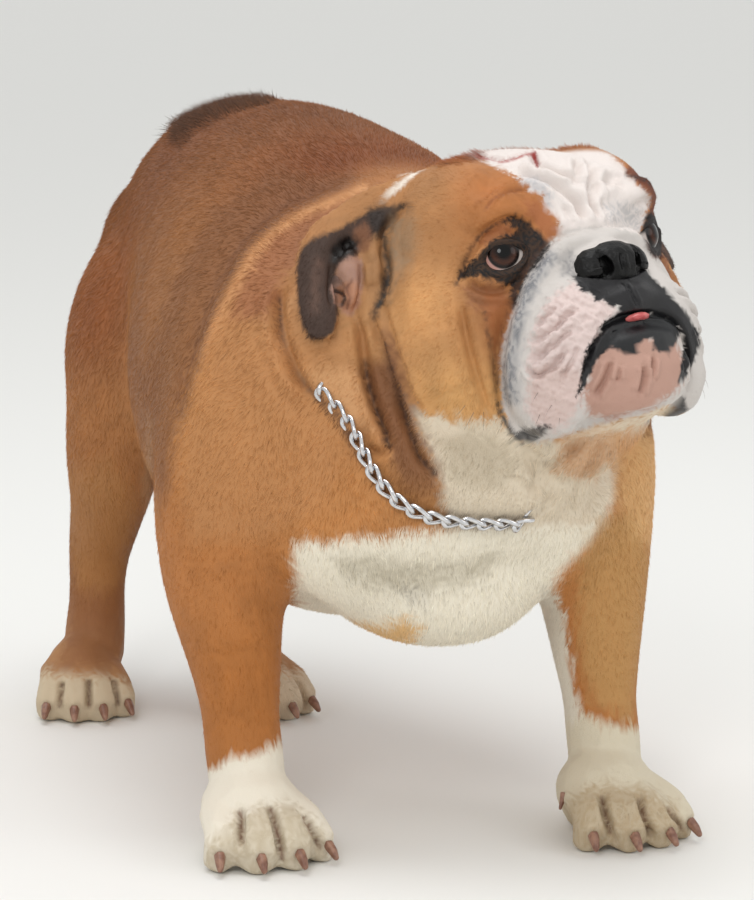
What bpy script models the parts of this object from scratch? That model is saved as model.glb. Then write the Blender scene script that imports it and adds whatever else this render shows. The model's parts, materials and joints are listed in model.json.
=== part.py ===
# English bulldog standing square with its head raised, wearing a curb chain collar.
# Metres, +Z up. The dog faces -Y and its left side is +X. The origin is on the floor under it.
import math
import bpy
import bmesh
from mathutils import Euler, Matrix, Vector
from mathutils.bvhtree import BVHTree
from mathutils.kdtree import KDTree

# Driving sizes of the animal.
WITHERS = 0.385          # floor to the top of the shoulders
LOIN_RISE = 0.032        # how far the roach back rises over the withers
CHEST_WIDTH = 0.290      # across the rib cage behind the shoulders
GAP = 0.0003             # clear gap that neighbouring nodes keep

# The head's own frame: its origin is midway between the eyes, and it faces its own -Y.
HEAD_PLACE = Vector((0.046, -0.250, 0.360))
HEAD_YAW, HEAD_PITCH, HEAD_ROLL = (math.radians(a) for a in (14.0, 10.0, -2.5))

# Colour, roughness and metallic value of each finish.
FINISHES = {
    "fawn": ((0.46, 0.20, 0.07, 1), 0.75, 0.0),
    "white": ((0.80, 0.76, 0.70, 1), 0.75, 0.0),
    "grizzle": ((0.10, 0.075, 0.06, 1), 0.70, 0.0),
    "black leather": ((0.012, 0.011, 0.012, 1), 0.30, 0.0),
    "pink skin": ((0.55, 0.28, 0.25, 1), 0.45, 0.0),
    "eye": ((0.03, 0.015, 0.01, 1), 0.08, 0.0),
    "claw": ((0.45, 0.28, 0.20, 1), 0.40, 0.0),
    "steel": ((0.62, 0.63, 0.65, 1), 0.25, 1.0),
}


def add_object(name, bm):
    """Puts a bmesh in the scene as an object and frees it."""
    mesh = bpy.data.meshes.new(name)
    bm.to_mesh(mesh)
    bm.free()
    obj = bpy.data.objects.new(name, mesh)
    bpy.context.scene.collection.objects.link(obj)
    return obj


def finish(obj, kind):
    """Gives the object a material of its own."""
    colour, roughness, metallic = FINISHES[kind]
    made = bpy.data.materials.new(obj.name + " " + kind)
    made.use_nodes = True
    shader = made.node_tree.nodes["Principled BSDF"]
    shader.inputs["Base Color"].default_value = colour
    shader.inputs["Roughness"].default_value = roughness
    shader.inputs["Metallic"].default_value = metallic
    made.diffuse_color = colour
    obj.data.materials.clear()
    obj.data.materials.append(made)
    return obj


def remove(*objects):
    for obj in objects:
        mesh = obj.data
        bpy.data.objects.remove(obj)
        if mesh.users == 0:
            bpy.data.meshes.remove(mesh)


def head_matrix():
    turn = Euler((-HEAD_PITCH, 0, 0)).to_matrix()
    roll = Euler((0, HEAD_ROLL, 0)).to_matrix()
    yaw = Euler((0, 0, HEAD_YAW)).to_matrix()
    return Matrix.Translation(HEAD_PLACE) @ (yaw @ turn @ roll).to_4x4()


def ball(centre, radii, turn=(0, 0, 0), frame=None, detail=3):
    """A closed ellipsoid, turned in degrees, in the world's frame or in the given one."""
    bm = bmesh.new()
    bmesh.ops.create_icosphere(bm, subdivisions=detail, radius=1)
    place = Matrix.Translation(centre) @ Euler([math.radians(a) for a in turn]).to_matrix().to_4x4()
    place = place @ Matrix.Diagonal((*radii, 1))
    if frame is not None:
        place = frame @ place
    bm.transform(place)
    return add_object("ball", bm)


# The domed ends of a limb: the angles of their rings, and their height as a share of the radius.
DOME_ANGLES, DOME_REACH = (30, 60, 85), 0.8


def smooth_path(points, steps):
    """Catmull-Rom through points of any length, with the given steps to each span."""
    ends = [points[0]] + list(points) + [points[-1]]
    found = []
    for i in range(1, len(ends) - 2):
        a, b, c, d = (Vector(ends[i + k]) for k in (-1, 0, 1, 2))
        for step in range(steps):
            t = step / steps
            found.append(0.5 * (2 * b + (c - a) * t + (2 * a - 5 * b + 4 * c - d) * t * t
                                + (3 * b - a - 3 * c + d) * t ** 3))
    found.append(Vector(ends[-2]))
    return found


def limb(stations, frame=None, sides=20, steps=4, power=2.0, side_axis=(1, 0, 0),
         domes=DOME_ANGLES):
    """A closed limb with domed ends. A station is x, y, z, half width and half depth."""
    rings = smooth_path([Vector(s) for s in stations], steps)
    bm = bmesh.new()
    loops = []
    for i, ring in enumerate(rings):
        centre = ring[:3]
        before, after = rings[max(i - 1, 0)], rings[min(i + 1, len(rings) - 1)]
        along = Vector(after[:3]) - Vector(before[:3])
        along.normalize()
        across = Vector(side_axis) - along * Vector(side_axis).dot(along)
        across.normalize()
        deep = along.cross(across)
        slices = [(0.0, 1.0)]
        reach = min(ring[3], ring[4]) * DOME_REACH
        arc = [(math.sin(a), math.cos(a)) for a in (math.radians(d) for d in domes)]
        if i == 0:
            slices = [(-s * reach, c) for s, c in reversed(arc)] + slices
        if i == len(rings) - 1:
            slices = slices + [(s * reach, c) for s, c in arc]
        for slide, shrink in slices:
            loop = []
            for k in range(sides):
                angle = 2 * math.pi * k / sides
                c, s = math.cos(angle), math.sin(angle)
                bulge = (abs(c) ** power + abs(s) ** power) ** (-1 / power) * shrink
                at = Vector(centre) + along * slide
                at = at + across * (c * bulge * ring[3]) + deep * (s * bulge * ring[4])
                loop.append(bm.verts.new(at))
            loops.append(loop)
    for low, high in zip(loops, loops[1:]):
        for k in range(sides):
            n = (k + 1) % sides
            bm.faces.new((low[k], low[n], high[n], high[k]))
    bm.faces.new(list(reversed(loops[0])))
    bm.faces.new(loops[-1])
    bmesh.ops.recalc_face_normals(bm, faces=bm.faces)
    if frame is not None:
        bm.transform(frame)
    return add_object("limb", bm)


def applied(obj):
    """Replaces the object's mesh with what its modifiers make."""
    graph = bpy.context.evaluated_depsgraph_get()
    made = bpy.data.meshes.new_from_object(obj.evaluated_get(graph))
    old = obj.data
    obj.modifiers.clear()
    obj.data = made
    bpy.data.meshes.remove(old)
    return obj


# How each mass is melted into one: the voxel it is cut into and the rounds that even it out.
MELTS = {
    "masses": (0.006, 16), "head_core": (0.005, 14), "muzzle": (0.0035, 8), "torso": (0.0033, 5),
    "lower_jaw": (0.0030, 4), "nose": (0.0022, 3), "ear": (0.0016, 2),
}


def fuse(name, pieces, melt_as=None, faces=None):
    """Melts overlapping closed pieces into one body, evens it out and thins its triangles."""
    voxel, rounds = MELTS[melt_as or name]
    bm = bmesh.new()
    for piece in pieces:
        bm.from_mesh(piece.data)
    obj = add_object(name, bm)
    remove(*pieces)
    melt = obj.modifiers.new("Melt", "REMESH")
    melt.mode = "VOXEL"
    melt.voxel_size = voxel
    even = obj.modifiers.new("Even", "SMOOTH")
    even.factor = 0.5
    even.iterations = rounds
    applied(obj)
    if faces:
        thin(obj, faces)
    return obj


def thin(obj, faces):
    """Collapses the flatter triangles until about the given number is left."""
    less = obj.modifiers.new("Less", "DECIMATE")
    less.ratio = min(1.0, faces / (2 * len(obj.data.polygons)))
    less.use_collapse_triangulate = True
    return applied(obj)


def copy_of(obj, name):
    twin = bpy.data.objects.new(name, obj.data.copy())
    bpy.context.scene.collection.objects.link(twin)
    return twin


def grown(obj, by=GAP * 1.3):
    """A copy whose surface stands out by the given distance, a little over the gap."""
    twin = copy_of(obj, obj.name + "_grown")
    twin.data.update()
    moves = [v.normal * by for v in twin.data.vertices]
    for v, move in zip(twin.data.vertices, moves):
        v.co += move
    return twin


def boolean(obj, tool, operation):
    """Cuts or joins obj with one tool, then keeps only the largest closed surface."""
    step = obj.modifiers.new("Cut", "BOOLEAN")
    step.operation = operation
    step.solver = "EXACT"
    step.object = tool
    applied(obj)
    return largest(obj)


def carve(obj, tool):
    """Cuts the room that a neighbour needs, with the gap round it, out of obj."""
    room = grown(tool)
    boolean(obj, room, "DIFFERENCE")
    remove(room)


def largest(obj):
    """Keeps the biggest closed surface and drops any scrap."""
    bm = bmesh.new()
    bm.from_mesh(obj.data)
    bmesh.ops.remove_doubles(bm, verts=bm.verts, dist=1e-6)
    unseen = set(bm.verts)
    islands = []
    while unseen:
        front = [unseen.pop()]
        island = set(front)
        while front:
            for edge in front.pop().link_edges:
                for v in edge.verts:
                    if v in unseen:
                        unseen.remove(v)
                        island.add(v)
                        front.append(v)
        islands.append(island)
    if len(islands) > 1:
        islands.sort(key=len)
        drop = [v for island in islands[:-1] for v in island]
        bmesh.ops.delete(bm, geom=drop, context="VERTS")
    bmesh.ops.triangulate(bm, faces=[f for f in bm.faces if len(f.verts) > 3])
    bm.to_mesh(obj.data)
    bm.free()
    return obj


def prism(outline, left, right, margin=0.0):
    """A side-view outline of y and z, drawn out from left to right, with a margin all round."""
    corners = [Vector(p) for p in outline]
    count = len(corners)
    area = sum(corners[k - 1].x * corners[k].y - corners[k].x * corners[k - 1].y
               for k in range(count))
    turn = 1 if area > 0 else -1
    edges = [(corners[(k + 1) % count] - corners[k]).normalized() for k in range(count)]
    normals = [Vector((e.y, -e.x)) * turn for e in edges]
    moved = []
    for k in range(count):
        one, two = normals[k - 1], normals[k]
        moved.append(corners[k] + (one + two) * (margin / (1 + one.dot(two))))
    bm = bmesh.new()
    near = [bm.verts.new((left - margin, p.x, p.y)) for p in moved]
    far = [bm.verts.new((right + margin, p.x, p.y)) for p in moved]
    bm.faces.new(near)
    bm.faces.new(far)
    for k in range(count):
        n = (k + 1) % count
        bm.faces.new((near[k], near[n], far[n], far[k]))
    bmesh.ops.recalc_face_normals(bm, faces=bm.faces)
    return add_object("prism", bm)


def share(body, name, outline, left, right, kind):
    """Takes the part inside a prism out of body as a node of its own, with a thin gap between."""
    inside = prism(outline, left, right)
    outside = prism(outline, left, right, GAP)
    node = boolean(copy_of(body, name), inside, "INTERSECT")
    boolean(body, outside, "DIFFERENCE")
    remove(inside, outside)
    return finish(node, kind)


def stand_on_floor(obj):
    """Trims everything under the floor to one flat level."""
    bm = bmesh.new()
    bm.from_mesh(obj.data)
    geom = list(bm.verts) + list(bm.edges) + list(bm.faces)
    cut = bmesh.ops.bisect_plane(bm, geom=geom, plane_co=(0, 0, 0), plane_no=(0, 0, 1),
                                 clear_inner=True)
    rim = [e for e in cut["geom_cut"] if isinstance(e, bmesh.types.BMEdge)]
    bmesh.ops.holes_fill(bm, edges=rim, sides=0)
    bmesh.ops.triangulate(bm, faces=[f for f in bm.faces if len(f.verts) > 3])
    bmesh.ops.recalc_face_normals(bm, faces=bm.faces)
    bm.to_mesh(obj.data)
    bm.free()


# The trunk: y, sideways drift, top, bottom and half width of each section, front to back.
TRUNK = (
    (-0.205, -0.004, 0.285, 0.160, 0.085),
    (-0.175, -0.006, 0.330, 0.128, 0.118),
    (-0.125, -0.008, WITHERS - 0.012, 0.118, CHEST_WIDTH / 2 - 0.007),
    (-0.060, -0.009, WITHERS + 0.006, 0.112, CHEST_WIDTH / 2 - 0.007),
    (0.020, -0.010, WITHERS + LOIN_RISE, 0.126, CHEST_WIDTH / 2 - 0.019),
    (0.082, -0.011, WITHERS + LOIN_RISE + 0.010, 0.160, CHEST_WIDTH / 2 - 0.040),
    (0.142, -0.013, WITHERS + LOIN_RISE + 0.004, 0.196, CHEST_WIDTH / 2 - 0.060),
    (0.195, -0.015, WITHERS + LOIN_RISE - 0.013, 0.222, CHEST_WIDTH / 2 - 0.074),
    (0.232, -0.016, WITHERS - 0.012, 0.250, CHEST_WIDTH / 2 - 0.090),
)
NECK = (
    (-0.008, -0.040, 0.285, 0.102, 0.100),
    (-0.005, -0.100, 0.300, 0.096, 0.092),
    (0.008, -0.150, 0.305, 0.092, 0.088),
    (0.026, -0.185, 0.318, 0.086, 0.080),
)
# Muscle masses over the trunk, as centre, radii and turn. Each is made on both sides.
BODY_PAIRS = {
    "shoulder blade": ((0.090, -0.080, 0.272), (0.042, 0.070, 0.098), (-18, -24, 0)),
    "point of shoulder": ((0.094, -0.140, 0.225), (0.050, 0.052, 0.064), (0, 0, 0)),
    "breast": ((0.046, -0.178, 0.200), (0.064, 0.050, 0.062), (0, 0, 0)),
    "haunch": ((0.054, 0.182, 0.262), (0.046, 0.078, 0.086), (20, -14, 0)),
}
BODY_MIDDLE = {
    "breastbone": ((0.000, -0.150, 0.160), (0.070, 0.085, 0.045), (8, 0, 0)),
    "rump": ((0.000, 0.224, 0.312), (0.068, 0.050, 0.062), (0, 0, 0)),
    "dewlap": ((0.020, -0.200, 0.245), (0.060, 0.050, 0.062), (0, 0, 0)),
}
TRUNK_DRIFT = {"shoulder blade": -0.009, "point of shoulder": -0.010, "breast": -0.006,
               "haunch": -0.020, "breastbone": -0.008, "rump": -0.020, "dewlap": 0.0}
# Legs from the shoulder or hip down: x, y, z, half width, half depth.
FORELEG_RIGHT = (
    (-0.112, -0.120, 0.262, 0.042, 0.060),
    (-0.120, -0.118, 0.210, 0.044, 0.058),
    (-0.124, -0.118, 0.168, 0.039, 0.047),
    (-0.123, -0.128, 0.132, 0.0345, 0.038),
    (-0.121, -0.136, 0.100, 0.0290, 0.031),
    (-0.120, -0.140, 0.070, 0.0250, 0.026),
    (-0.119, -0.146, 0.040, 0.0250, 0.027),
)
FORELEG_LEFT = (
    (0.096, -0.140, 0.262, 0.040, 0.060),
    (0.100, -0.144, 0.210, 0.042, 0.058),
    (0.101, -0.150, 0.168, 0.039, 0.047),
    (0.098, -0.163, 0.132, 0.0340, 0.038),
    (0.096, -0.172, 0.100, 0.0285, 0.031),
    (0.096, -0.178, 0.070, 0.0240, 0.026),
    (0.097, -0.184, 0.040, 0.0240, 0.027),
)
HINDLEG_RIGHT = (
    (-0.066, 0.180, 0.275, 0.040, 0.068),
    (-0.082, 0.176, 0.230, 0.042, 0.060),
    (-0.089, 0.192, 0.182, 0.035, 0.047),
    (-0.087, 0.216, 0.140, 0.028, 0.036),
    (-0.087, 0.238, 0.100, 0.0230, 0.029),
    (-0.092, 0.229, 0.062, 0.0215, 0.024),
    (-0.098, 0.216, 0.034, 0.0230, 0.026),
)
HINDLEG_LEFT = (
    (0.020, 0.172, 0.275, 0.040, 0.068),
    (0.034, 0.156, 0.230, 0.042, 0.060),
    (0.033, 0.164, 0.182, 0.035, 0.047),
    (0.022, 0.184, 0.140, 0.028, 0.036),
    (0.012, 0.204, 0.100, 0.0230, 0.029),
    (0.006, 0.192, 0.062, 0.0215, 0.024),
    (0.000, 0.176, 0.034, 0.0230, 0.026),
)
# Paws: middle of the foot on the floor, heading in degrees from -Y towards +X, width and length.
PAWS = {
    "forepaw_right": ((-0.122, -0.168), -2.0, 0.074, 0.088),
    "forepaw_left": ((0.090, -0.208), 4.0, 0.074, 0.088),
    "hindpaw_right": ((-0.112, 0.200), -12.0, 0.059, 0.078),
    "hindpaw_left": ((-0.004, 0.156), 2.0, 0.062, 0.080),
}
# Toes across a paw: place across and along the foot as shares of its half sizes, and the splay.
TOES = ((-0.74, 0.36, -16), (-0.27, 0.62, -5), (0.27, 0.62, 5), (0.74, 0.36, 16))
TOE_RADIUS = 0.0112
TOE_SIDES, TOE_STEPS = 14, 3
# Sole masses: height of the middle, place along, then radii; across and along in shares of the foot.
INSTEP = ((0.010, 0.026), (0.40, 0.36, 0.024), (-14, 0, 0))
HEEL_PAD = ((0.014, 0.008), (0.30, 0.24, 0.012), (0, 0, 0))
TOE_PAD_PLACE, TOE_PAD = (0.003, 0.006), (0.0095, 0.0115, 0.009)
CLAW_LENGTH, CLAW_START, CLAW_DEPTH = 0.0105, 0.004, 1.15
# A claw's sections: share of its length, height over the toe's tip and half width.
CLAW_SECTIONS = ((0.0, 0.001, 0.0032), (0.35, -0.0005, 0.0033), (0.7, -0.0032, 0.0028),
                 (1.0, -0.0068, 0.0018))
CLAW_DOME = (55,)


def paw_frame(spot, heading):
    return Matrix.Translation((*spot, 0)) @ Euler((0, 0, math.radians(heading))).to_matrix().to_4x4()


def toe_points(width, length, across, along, splay):
    """Root, knuckle and tip of one toe in the paw's own frame, which faces -Y."""
    x = across * width / 2
    y = -along * length / 2
    lean = math.tan(math.radians(splay))
    root = (x * 0.80, y + 0.020, 0.026, TOE_RADIUS * 1.05, TOE_RADIUS * 0.95)
    knuckle = (x * 0.95, y - 0.002, 0.021, TOE_RADIUS, TOE_RADIUS * 1.05)
    tip = (x + lean * 0.012, y - 0.012, 0.012, TOE_RADIUS * 0.92, TOE_RADIUS * 0.95)
    return root, knuckle, tip


def paw_pieces(spot, heading, width, length):
    """Instep, four arched toes and the pads they stand on."""
    frame = paw_frame(spot, heading)
    made = []
    for place, (wide, long, high), turn in (INSTEP, HEEL_PAD):
        made.append(ball((0, *place), (width * wide, length * long, high), turn, frame))
    for across, along, splay in TOES:
        points = toe_points(width, length, across, along, splay)
        made.append(limb(points, frame, sides=TOE_SIDES, steps=TOE_STEPS))
        tip = points[-1]
        made.append(ball((tip[0], tip[1] + TOE_PAD_PLACE[0], TOE_PAD_PLACE[1]), TOE_PAD, frame=frame))
    return made


def claw(name, spot, heading, width, length, toe):
    """One blunt curved claw that grows from the front of its toe."""
    across, along, splay = toe
    x, y, z = toe_points(width, length, across, along, splay)[-1][:3]
    lean = math.tan(math.radians(splay))
    stations = []
    for reach, rise, half in CLAW_SECTIONS:
        out = CLAW_START + reach * CLAW_LENGTH
        stations.append((x + lean * out, y - out, z + rise, half, half * CLAW_DEPTH))
    made = limb(stations, paw_frame(spot, heading), sides=CLAW_SIDES, steps=1, domes=CLAW_DOME)
    made.name = name
    return made


# Where the body is shared out: side-view outlines of y and z, and the reach from left to right.
HEAD_PART = ((-0.40, 0.50), (-0.40, 0.236), (-0.245, 0.238), (-0.195, 0.262), (-0.172, 0.300),
             (-0.138, 0.410), (-0.12, 0.50))
NECK_PART = ((-0.40, 0.52), (-0.40, 0.19), (-0.229, 0.19), (-0.0736, 0.42), (-0.02, 0.52))
FOREPAW_PART = ((-0.40, -0.05), (-0.40, 0.045), (-0.07, 0.045), (-0.07, -0.05))
FORELEG_PART = ((-0.27, 0.04), (-0.27, 0.215), (-0.04, 0.185), (-0.04, 0.04))
HINDPAW_PART = ((0.05, -0.05), (0.05, 0.040), (0.34, 0.040), (0.34, -0.05))
HINDLEG_PART = ((0.110, 0.03), (0.110, 0.180), (0.150, 0.235), (0.34, 0.235), (0.34, 0.03))
LOIN_PART = ((0.075, 0.05), (0.075, 0.50), (0.40, 0.50), (0.40, 0.05))
FORELEG_INNER = {"right": -0.076, "left": 0.054}
HIND_MIDDLE = -0.027
FAR = 0.30               # well outside the body to either side

# How round the trunk, neck and tail are drawn.
TRUNK_SIDES, TRUNK_POWER, NECK_SIDES = 32, 2.15, 28
TAIL_SIDES, TAIL_STEPS = 12, 2
# How many triangles each fused mass keeps.
BODY_FACES = 4500
EAR_FACES, NOSE_FACES, JAW_FACES = 440, 400, 520
EYE_DETAIL, SMALL_DETAIL, CLAW_SIDES = 3, 2, 6

# Head masses in the head's own frame, as centre, radii and turn.
HEAD_MIDDLE = {
    "skull": ((0, 0.070, 0.000), (0.080, 0.072, 0.062), (0, 0, 0)),
    "forehead": ((0, 0.034, 0.014), (0.058, 0.042, 0.042), (0, 0, 0)),
    "face": ((0, 0.040, -0.040), (0.070, 0.058, 0.058), (0, 0, 0)),
    "throat": ((0, 0.056, -0.090), (0.070, 0.062, 0.048), (0, 0, 0)),
}
HEAD_PAIRS = {
    "cheek": ((0.052, 0.060, -0.044), (0.048, 0.058, 0.062), (0, 0, 0)),
    "temple": ((0.048, 0.056, 0.018), (0.034, 0.050, 0.040), (0, 0, 0)),
}
MUZZLE_MIDDLE = {
    "muzzle core": ((0, 0.010, -0.052), (0.050, 0.042, 0.046), (0, 0, 0)),
    "lip front": ((0, -0.022, -0.036), (0.030, 0.022, 0.016), (0, 0, 0)),
}
MUZZLE_PAIRS = {
    "brow": ((0.041, 0.020, 0.021), (0.027, 0.022, 0.014), (0, -14, -10)),
    "orbit": ((0.0525, 0.0160, -0.001), (0.0200, 0.0175, 0.0170), (0, 0, 0)),
    "lip cushion": ((0.028, -0.018, -0.054), (0.028, 0.024, 0.036), (0, -8, 8)),
    "lip curtain": ((0.043, -0.008, -0.080), (0.019, 0.028, 0.027), (0, 0, 0)),
}
# The roll of skin that runs over the nose and down to both flews, from the middle to the left.
NOSE_ROLL = (
    (0.000, -0.006, 0.004, 0.012, 0.012), (0.015, -0.006, 0.000, 0.012, 0.013),
    (0.027, -0.004, -0.014, 0.013, 0.017), (0.037, 0.000, -0.038, 0.015, 0.022),
    (0.042, -0.001, -0.068, 0.015, 0.022), (0.044, -0.004, -0.092, 0.013, 0.018),
)
JAW_MIDDLE = {
    "chin": ((0, -0.024, -0.075), (0.043, 0.031, 0.026), (0, 0, 0)),
    "lower lip": ((0, -0.037, -0.058), (0.031, 0.016, 0.012), (0, 0, 0)),
    "jaw base": ((0, 0.010, -0.088), (0.046, 0.044, 0.022), (0, 0, 0)),
}
EYE_RADIUS = 0.0135
EYE_PLACE = (0.0500, 0.0135, -0.001)
EYE_OPENING_PLACE, EYE_OPENING = (0.0510, -0.0005, -0.001), (0.0125, 0.020, 0.0078)
NOSE_MASSES = {
    "bulb": ((0, -0.022, -0.015), (0.020, 0.014, 0.015), (0, 0, 0)),
    "right wing": ((-0.013, -0.021, -0.016), (0.0125, 0.012, 0.013), (0, 0, 0)),
    "left wing": ((0.013, -0.021, -0.016), (0.0125, 0.012, 0.013), (0, 0, 0)),
}
NOSTRIL = ((0.0115, -0.036, -0.013), (0.0042, 0.012, 0.0052), (0, 0, 0))


# Rose ears in the head's own frame, left side: the spine from the root to the tip, then the
# direction across the flap, its half width, how deep it is cupped and how thick it is.
EAR_SPINE = (
    ((0.058, 0.066, 0.040), (0.00, -0.30, 0.95), 0.017, 0.003, 0.0080),
    ((0.077, 0.078, 0.033), (0.10, -0.20, 0.95), 0.017, 0.004, 0.0060),
    ((0.094, 0.090, 0.027), (0.35, 0.05, 0.90), 0.015, 0.005, 0.0045),
    ((0.108, 0.096, 0.021), (0.65, 0.38, 0.60), 0.013, 0.005, 0.0040),
    ((0.117, 0.096, 0.008), (0.80, 0.55, 0.25), 0.012, 0.004, 0.0036),
    ((0.1205, 0.093, -0.009), (0.81, 0.58, 0.00), 0.0115, 0.003, 0.0034),
    ((0.1225, 0.089, -0.023), (0.81, 0.58, -0.05), 0.0110, 0.002, 0.0032),
    ((0.123, 0.088, -0.030), (0.81, 0.58, -0.05), 0.0088, 0.001, 0.0032),
    ((0.1235, 0.0875, -0.0335), (0.81, 0.58, -0.05), 0.0050, 0.000, 0.0030),
)
EAR_BURR = {
    "root": ((0.074, 0.084, 0.018), (0.020, 0.018, 0.022), (0, 20, 0)),
    "burr": ((0.100, 0.086, 0.004), (0.008, 0.007, 0.013), (0, 8, 0)),
    "lower burr": ((0.101, 0.084, -0.010), (0.006, 0.006, 0.010), (0, -12, 0)),
    "tragus": ((0.089, 0.077, -0.006), (0.007, 0.008, 0.022), (0, 4, 0)),
}
EAR_CANAL = ((0.094, 0.078, -0.010), (0.0032, 0.012, 0.006), (0, 0, 0))
# The left ear is held a little further out, clear of the collar that lies behind it.
EAR_ROOT = Vector((0.078, 0.080, 0.030))
EAR_LIFT = (math.radians(-6), math.radians(-10), 0)
EAR_STEPS, EAR_COLUMNS = 3, 8
EAR_MIDDLE_SHARE, EAR_EDGE_SHARE = 0.5, 0.1   # the flap's thickness at its middle and its edges
TAIL = (
    (-0.015, 0.222, 0.340, 0.020, 0.020), (-0.015, 0.258, 0.348, 0.018, 0.016),
    (-0.014, 0.273, 0.362, 0.014, 0.013), (-0.012, 0.270, 0.379, 0.011, 0.010),
    (-0.010, 0.258, 0.389, 0.007, 0.006),
)
TONGUE = ((0, -0.034, -0.0455), (0.013, 0.013, 0.0042), (-8, 0, 0))
# The collar lies in a plane through the neck. Its place, its tilt and the size of its links.
COLLAR_PLACE = Vector((-0.003, -0.180, 0.297))
COLLAR_TILT, COLLAR_YAW = math.radians(55.5), math.radians(3)
COLLAR_SLIP = 0.018      # how far the left side has slipped down the neck, behind the ear
COLLAR_SEEK = 0.40       # a reach from the middle of the neck to well outside it
COLLAR_EASE = 8          # rounds that even out its path
COLLAR_GROOVE, COLLAR_GROOVE_WIDTH = 0.005, 0.022
LINK_PITCH = 0.0130
LINK_WIDTH, LINK_WIRE = 0.0118, 0.0032
LINK_LENGTH = LINK_PITCH + 1.3 * LINK_WIRE
LINK_SIDES, WIRE_SIDES = 6, 3
LINK_TWIST = math.radians(42)            # a curb link is twisted between its two ends
LINK_STAND, LINK_CLEAR = 0.0036, 0.0008  # middle of a link over the skin, and its least gap to it
LINK_LIFTS = 4           # tries to lift a link clear of the skin


def ear(name, side, head_frame):
    """A thin folded flap, cupped along its length, with the burr at its root."""
    rows = smooth_path([Vector((*at, *across, half, cup, thick))
                        for at, across, half, cup, thick in EAR_SPINE], EAR_STEPS)
    columns = EAR_COLUMNS
    bm = bmesh.new()
    loops = []
    for i, row in enumerate(rows):
        at = Vector(row[:3])
        along = Vector(rows[min(i + 1, len(rows) - 1)][:3]) - Vector(rows[max(i - 1, 0)][:3])
        across = Vector(row[3:6])
        across = (across - along * across.dot(along) / along.length_squared).normalized()
        out = along.cross(across).normalized()
        half, cup, thick = row[6:9]
        loop = []
        for face in (1, -1):
            for k in range(columns + 1):
                u = -face + 2 * face * k / columns
                edge = math.sqrt(max(0.0, 1 - abs(u) ** 3)) * EAR_MIDDLE_SHARE + EAR_EDGE_SHARE
                spot = at + across * (u * half) - out * (cup * (u * u - 0.5))
                loop.append(spot + out * (face * thick * edge))
        loops.append([bm.verts.new(v) for v in loop])
    count = len(loops[0])
    for low, high in zip(loops, loops[1:]):
        for k in range(count):
            n = (k + 1) % count
            bm.faces.new((low[k], low[n], high[n], high[k]))
    for loop, turn in ((loops[0], -1), (loops[-1], 1)):
        for k in range(columns):
            quad = (loop[k], loop[k + 1], loop[count - 2 - k], loop[count - 1 - k])
            bm.faces.new(quad if turn > 0 else quad[::-1])
    bmesh.ops.recalc_face_normals(bm, faces=bm.faces)
    flap = add_object("flap", bm)
    made = fuse(name, [flap] + named(EAR_BURR), "ear", EAR_FACES)
    canal = ball(*EAR_CANAL)
    boolean(made, canal, "DIFFERENCE")
    remove(canal)
    if side < 0:
        made.data.transform(Matrix.Diagonal((-1, 1, 1, 1)))
        made.data.flip_normals()
    else:
        lift = Euler(EAR_LIFT).to_matrix().to_4x4()
        made.data.transform(Matrix.Translation(EAR_ROOT) @ lift @ Matrix.Translation(-EAR_ROOT))
    made.data.transform(head_frame)
    return made


def surface_of(*objects):
    """A search tree over the surfaces of several objects."""
    bm = bmesh.new()
    for obj in objects:
        bm.from_mesh(obj.data)
    bmesh.ops.triangulate(bm, faces=bm.faces)
    tree = BVHTree.FromBMesh(bm)
    bm.free()
    return tree


def collar_frame():
    tilt = Euler((COLLAR_TILT, 0, COLLAR_YAW)).to_matrix().to_4x4()
    return Matrix.Translation(COLLAR_PLACE) @ tilt


def collar_path(tree, turns=180):
    """Places round the neck where the chain rests on the skin, and which way is out there."""
    frame = collar_frame()
    centre = frame.translation
    places = []
    for k in range(turns):
        angle = 2 * math.pi * k / turns
        out = frame.to_3x3() @ Vector((math.sin(angle), -math.cos(angle), 0))
        start = centre - frame.col[2].to_3d() * (COLLAR_SLIP * max(0.0, math.sin(angle)))
        hit, normal, _, _ = tree.ray_cast(start + out * COLLAR_SEEK, -out)
        places.append((hit, normal))
    for _ in range(COLLAR_EASE):
        places = [tuple((places[k - 1][i] + 2 * places[k][i] + places[(k + 1) % turns][i]) / 4
                        for i in range(2)) for k in range(turns)]
    return [(place, normal.normalized()) for place, normal in places]


def groove(obj, path, depth, width):
    """Presses the skin in along a path, deepest at its middle."""
    reach = KDTree(len(path))
    for k, (place, normal) in enumerate(path):
        reach.insert(place, k)
    reach.balance()
    obj.data.update()
    moves = []
    for v in obj.data.vertices:
        distance = reach.find(v.co)[2]
        fall = max(0.0, 1 - (distance / width) ** 2) ** 2
        moves.append(v.normal * (-depth * fall))
    for v, move in zip(obj.data.vertices, moves):
        v.co += move
    obj.data.update()


def link_places(path):
    """Evenly spaced places for the links, with the way along and the way out at each."""
    turns = len(path)
    lengths = [(path[(k + 1) % turns][0] - path[k][0]).length for k in range(turns)]
    count = 2 * round(sum(lengths) / LINK_PITCH / 2)
    step = sum(lengths) / count
    spots = []
    walked, k = 0.0, 0
    for number in range(count):
        while walked + lengths[k] < number * step:
            walked += lengths[k]
            k += 1
        (here, out), (there, _) = path[k], path[(k + 1) % turns]
        spots.append((here.lerp(there, (number * step - walked) / lengths[k]),
                      (there - here).normalized(), out))
    return spots


def lift_clear(bm, tree, out, clear):
    """Moves a piece outwards until each of its corners and edge middles clears the surface."""
    for _ in range(LINK_LIFTS):
        probes = [v.co.copy() for v in bm.verts]
        probes += [(e.verts[0].co + e.verts[1].co) / 2 for e in bm.edges]
        short = 0.0
        for probe in probes:
            place, normal, _, _ = tree.find_nearest(probe)
            short = max(short, clear - (probe - place).dot(normal))
        bm.transform(Matrix.Translation(out * short))


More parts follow.
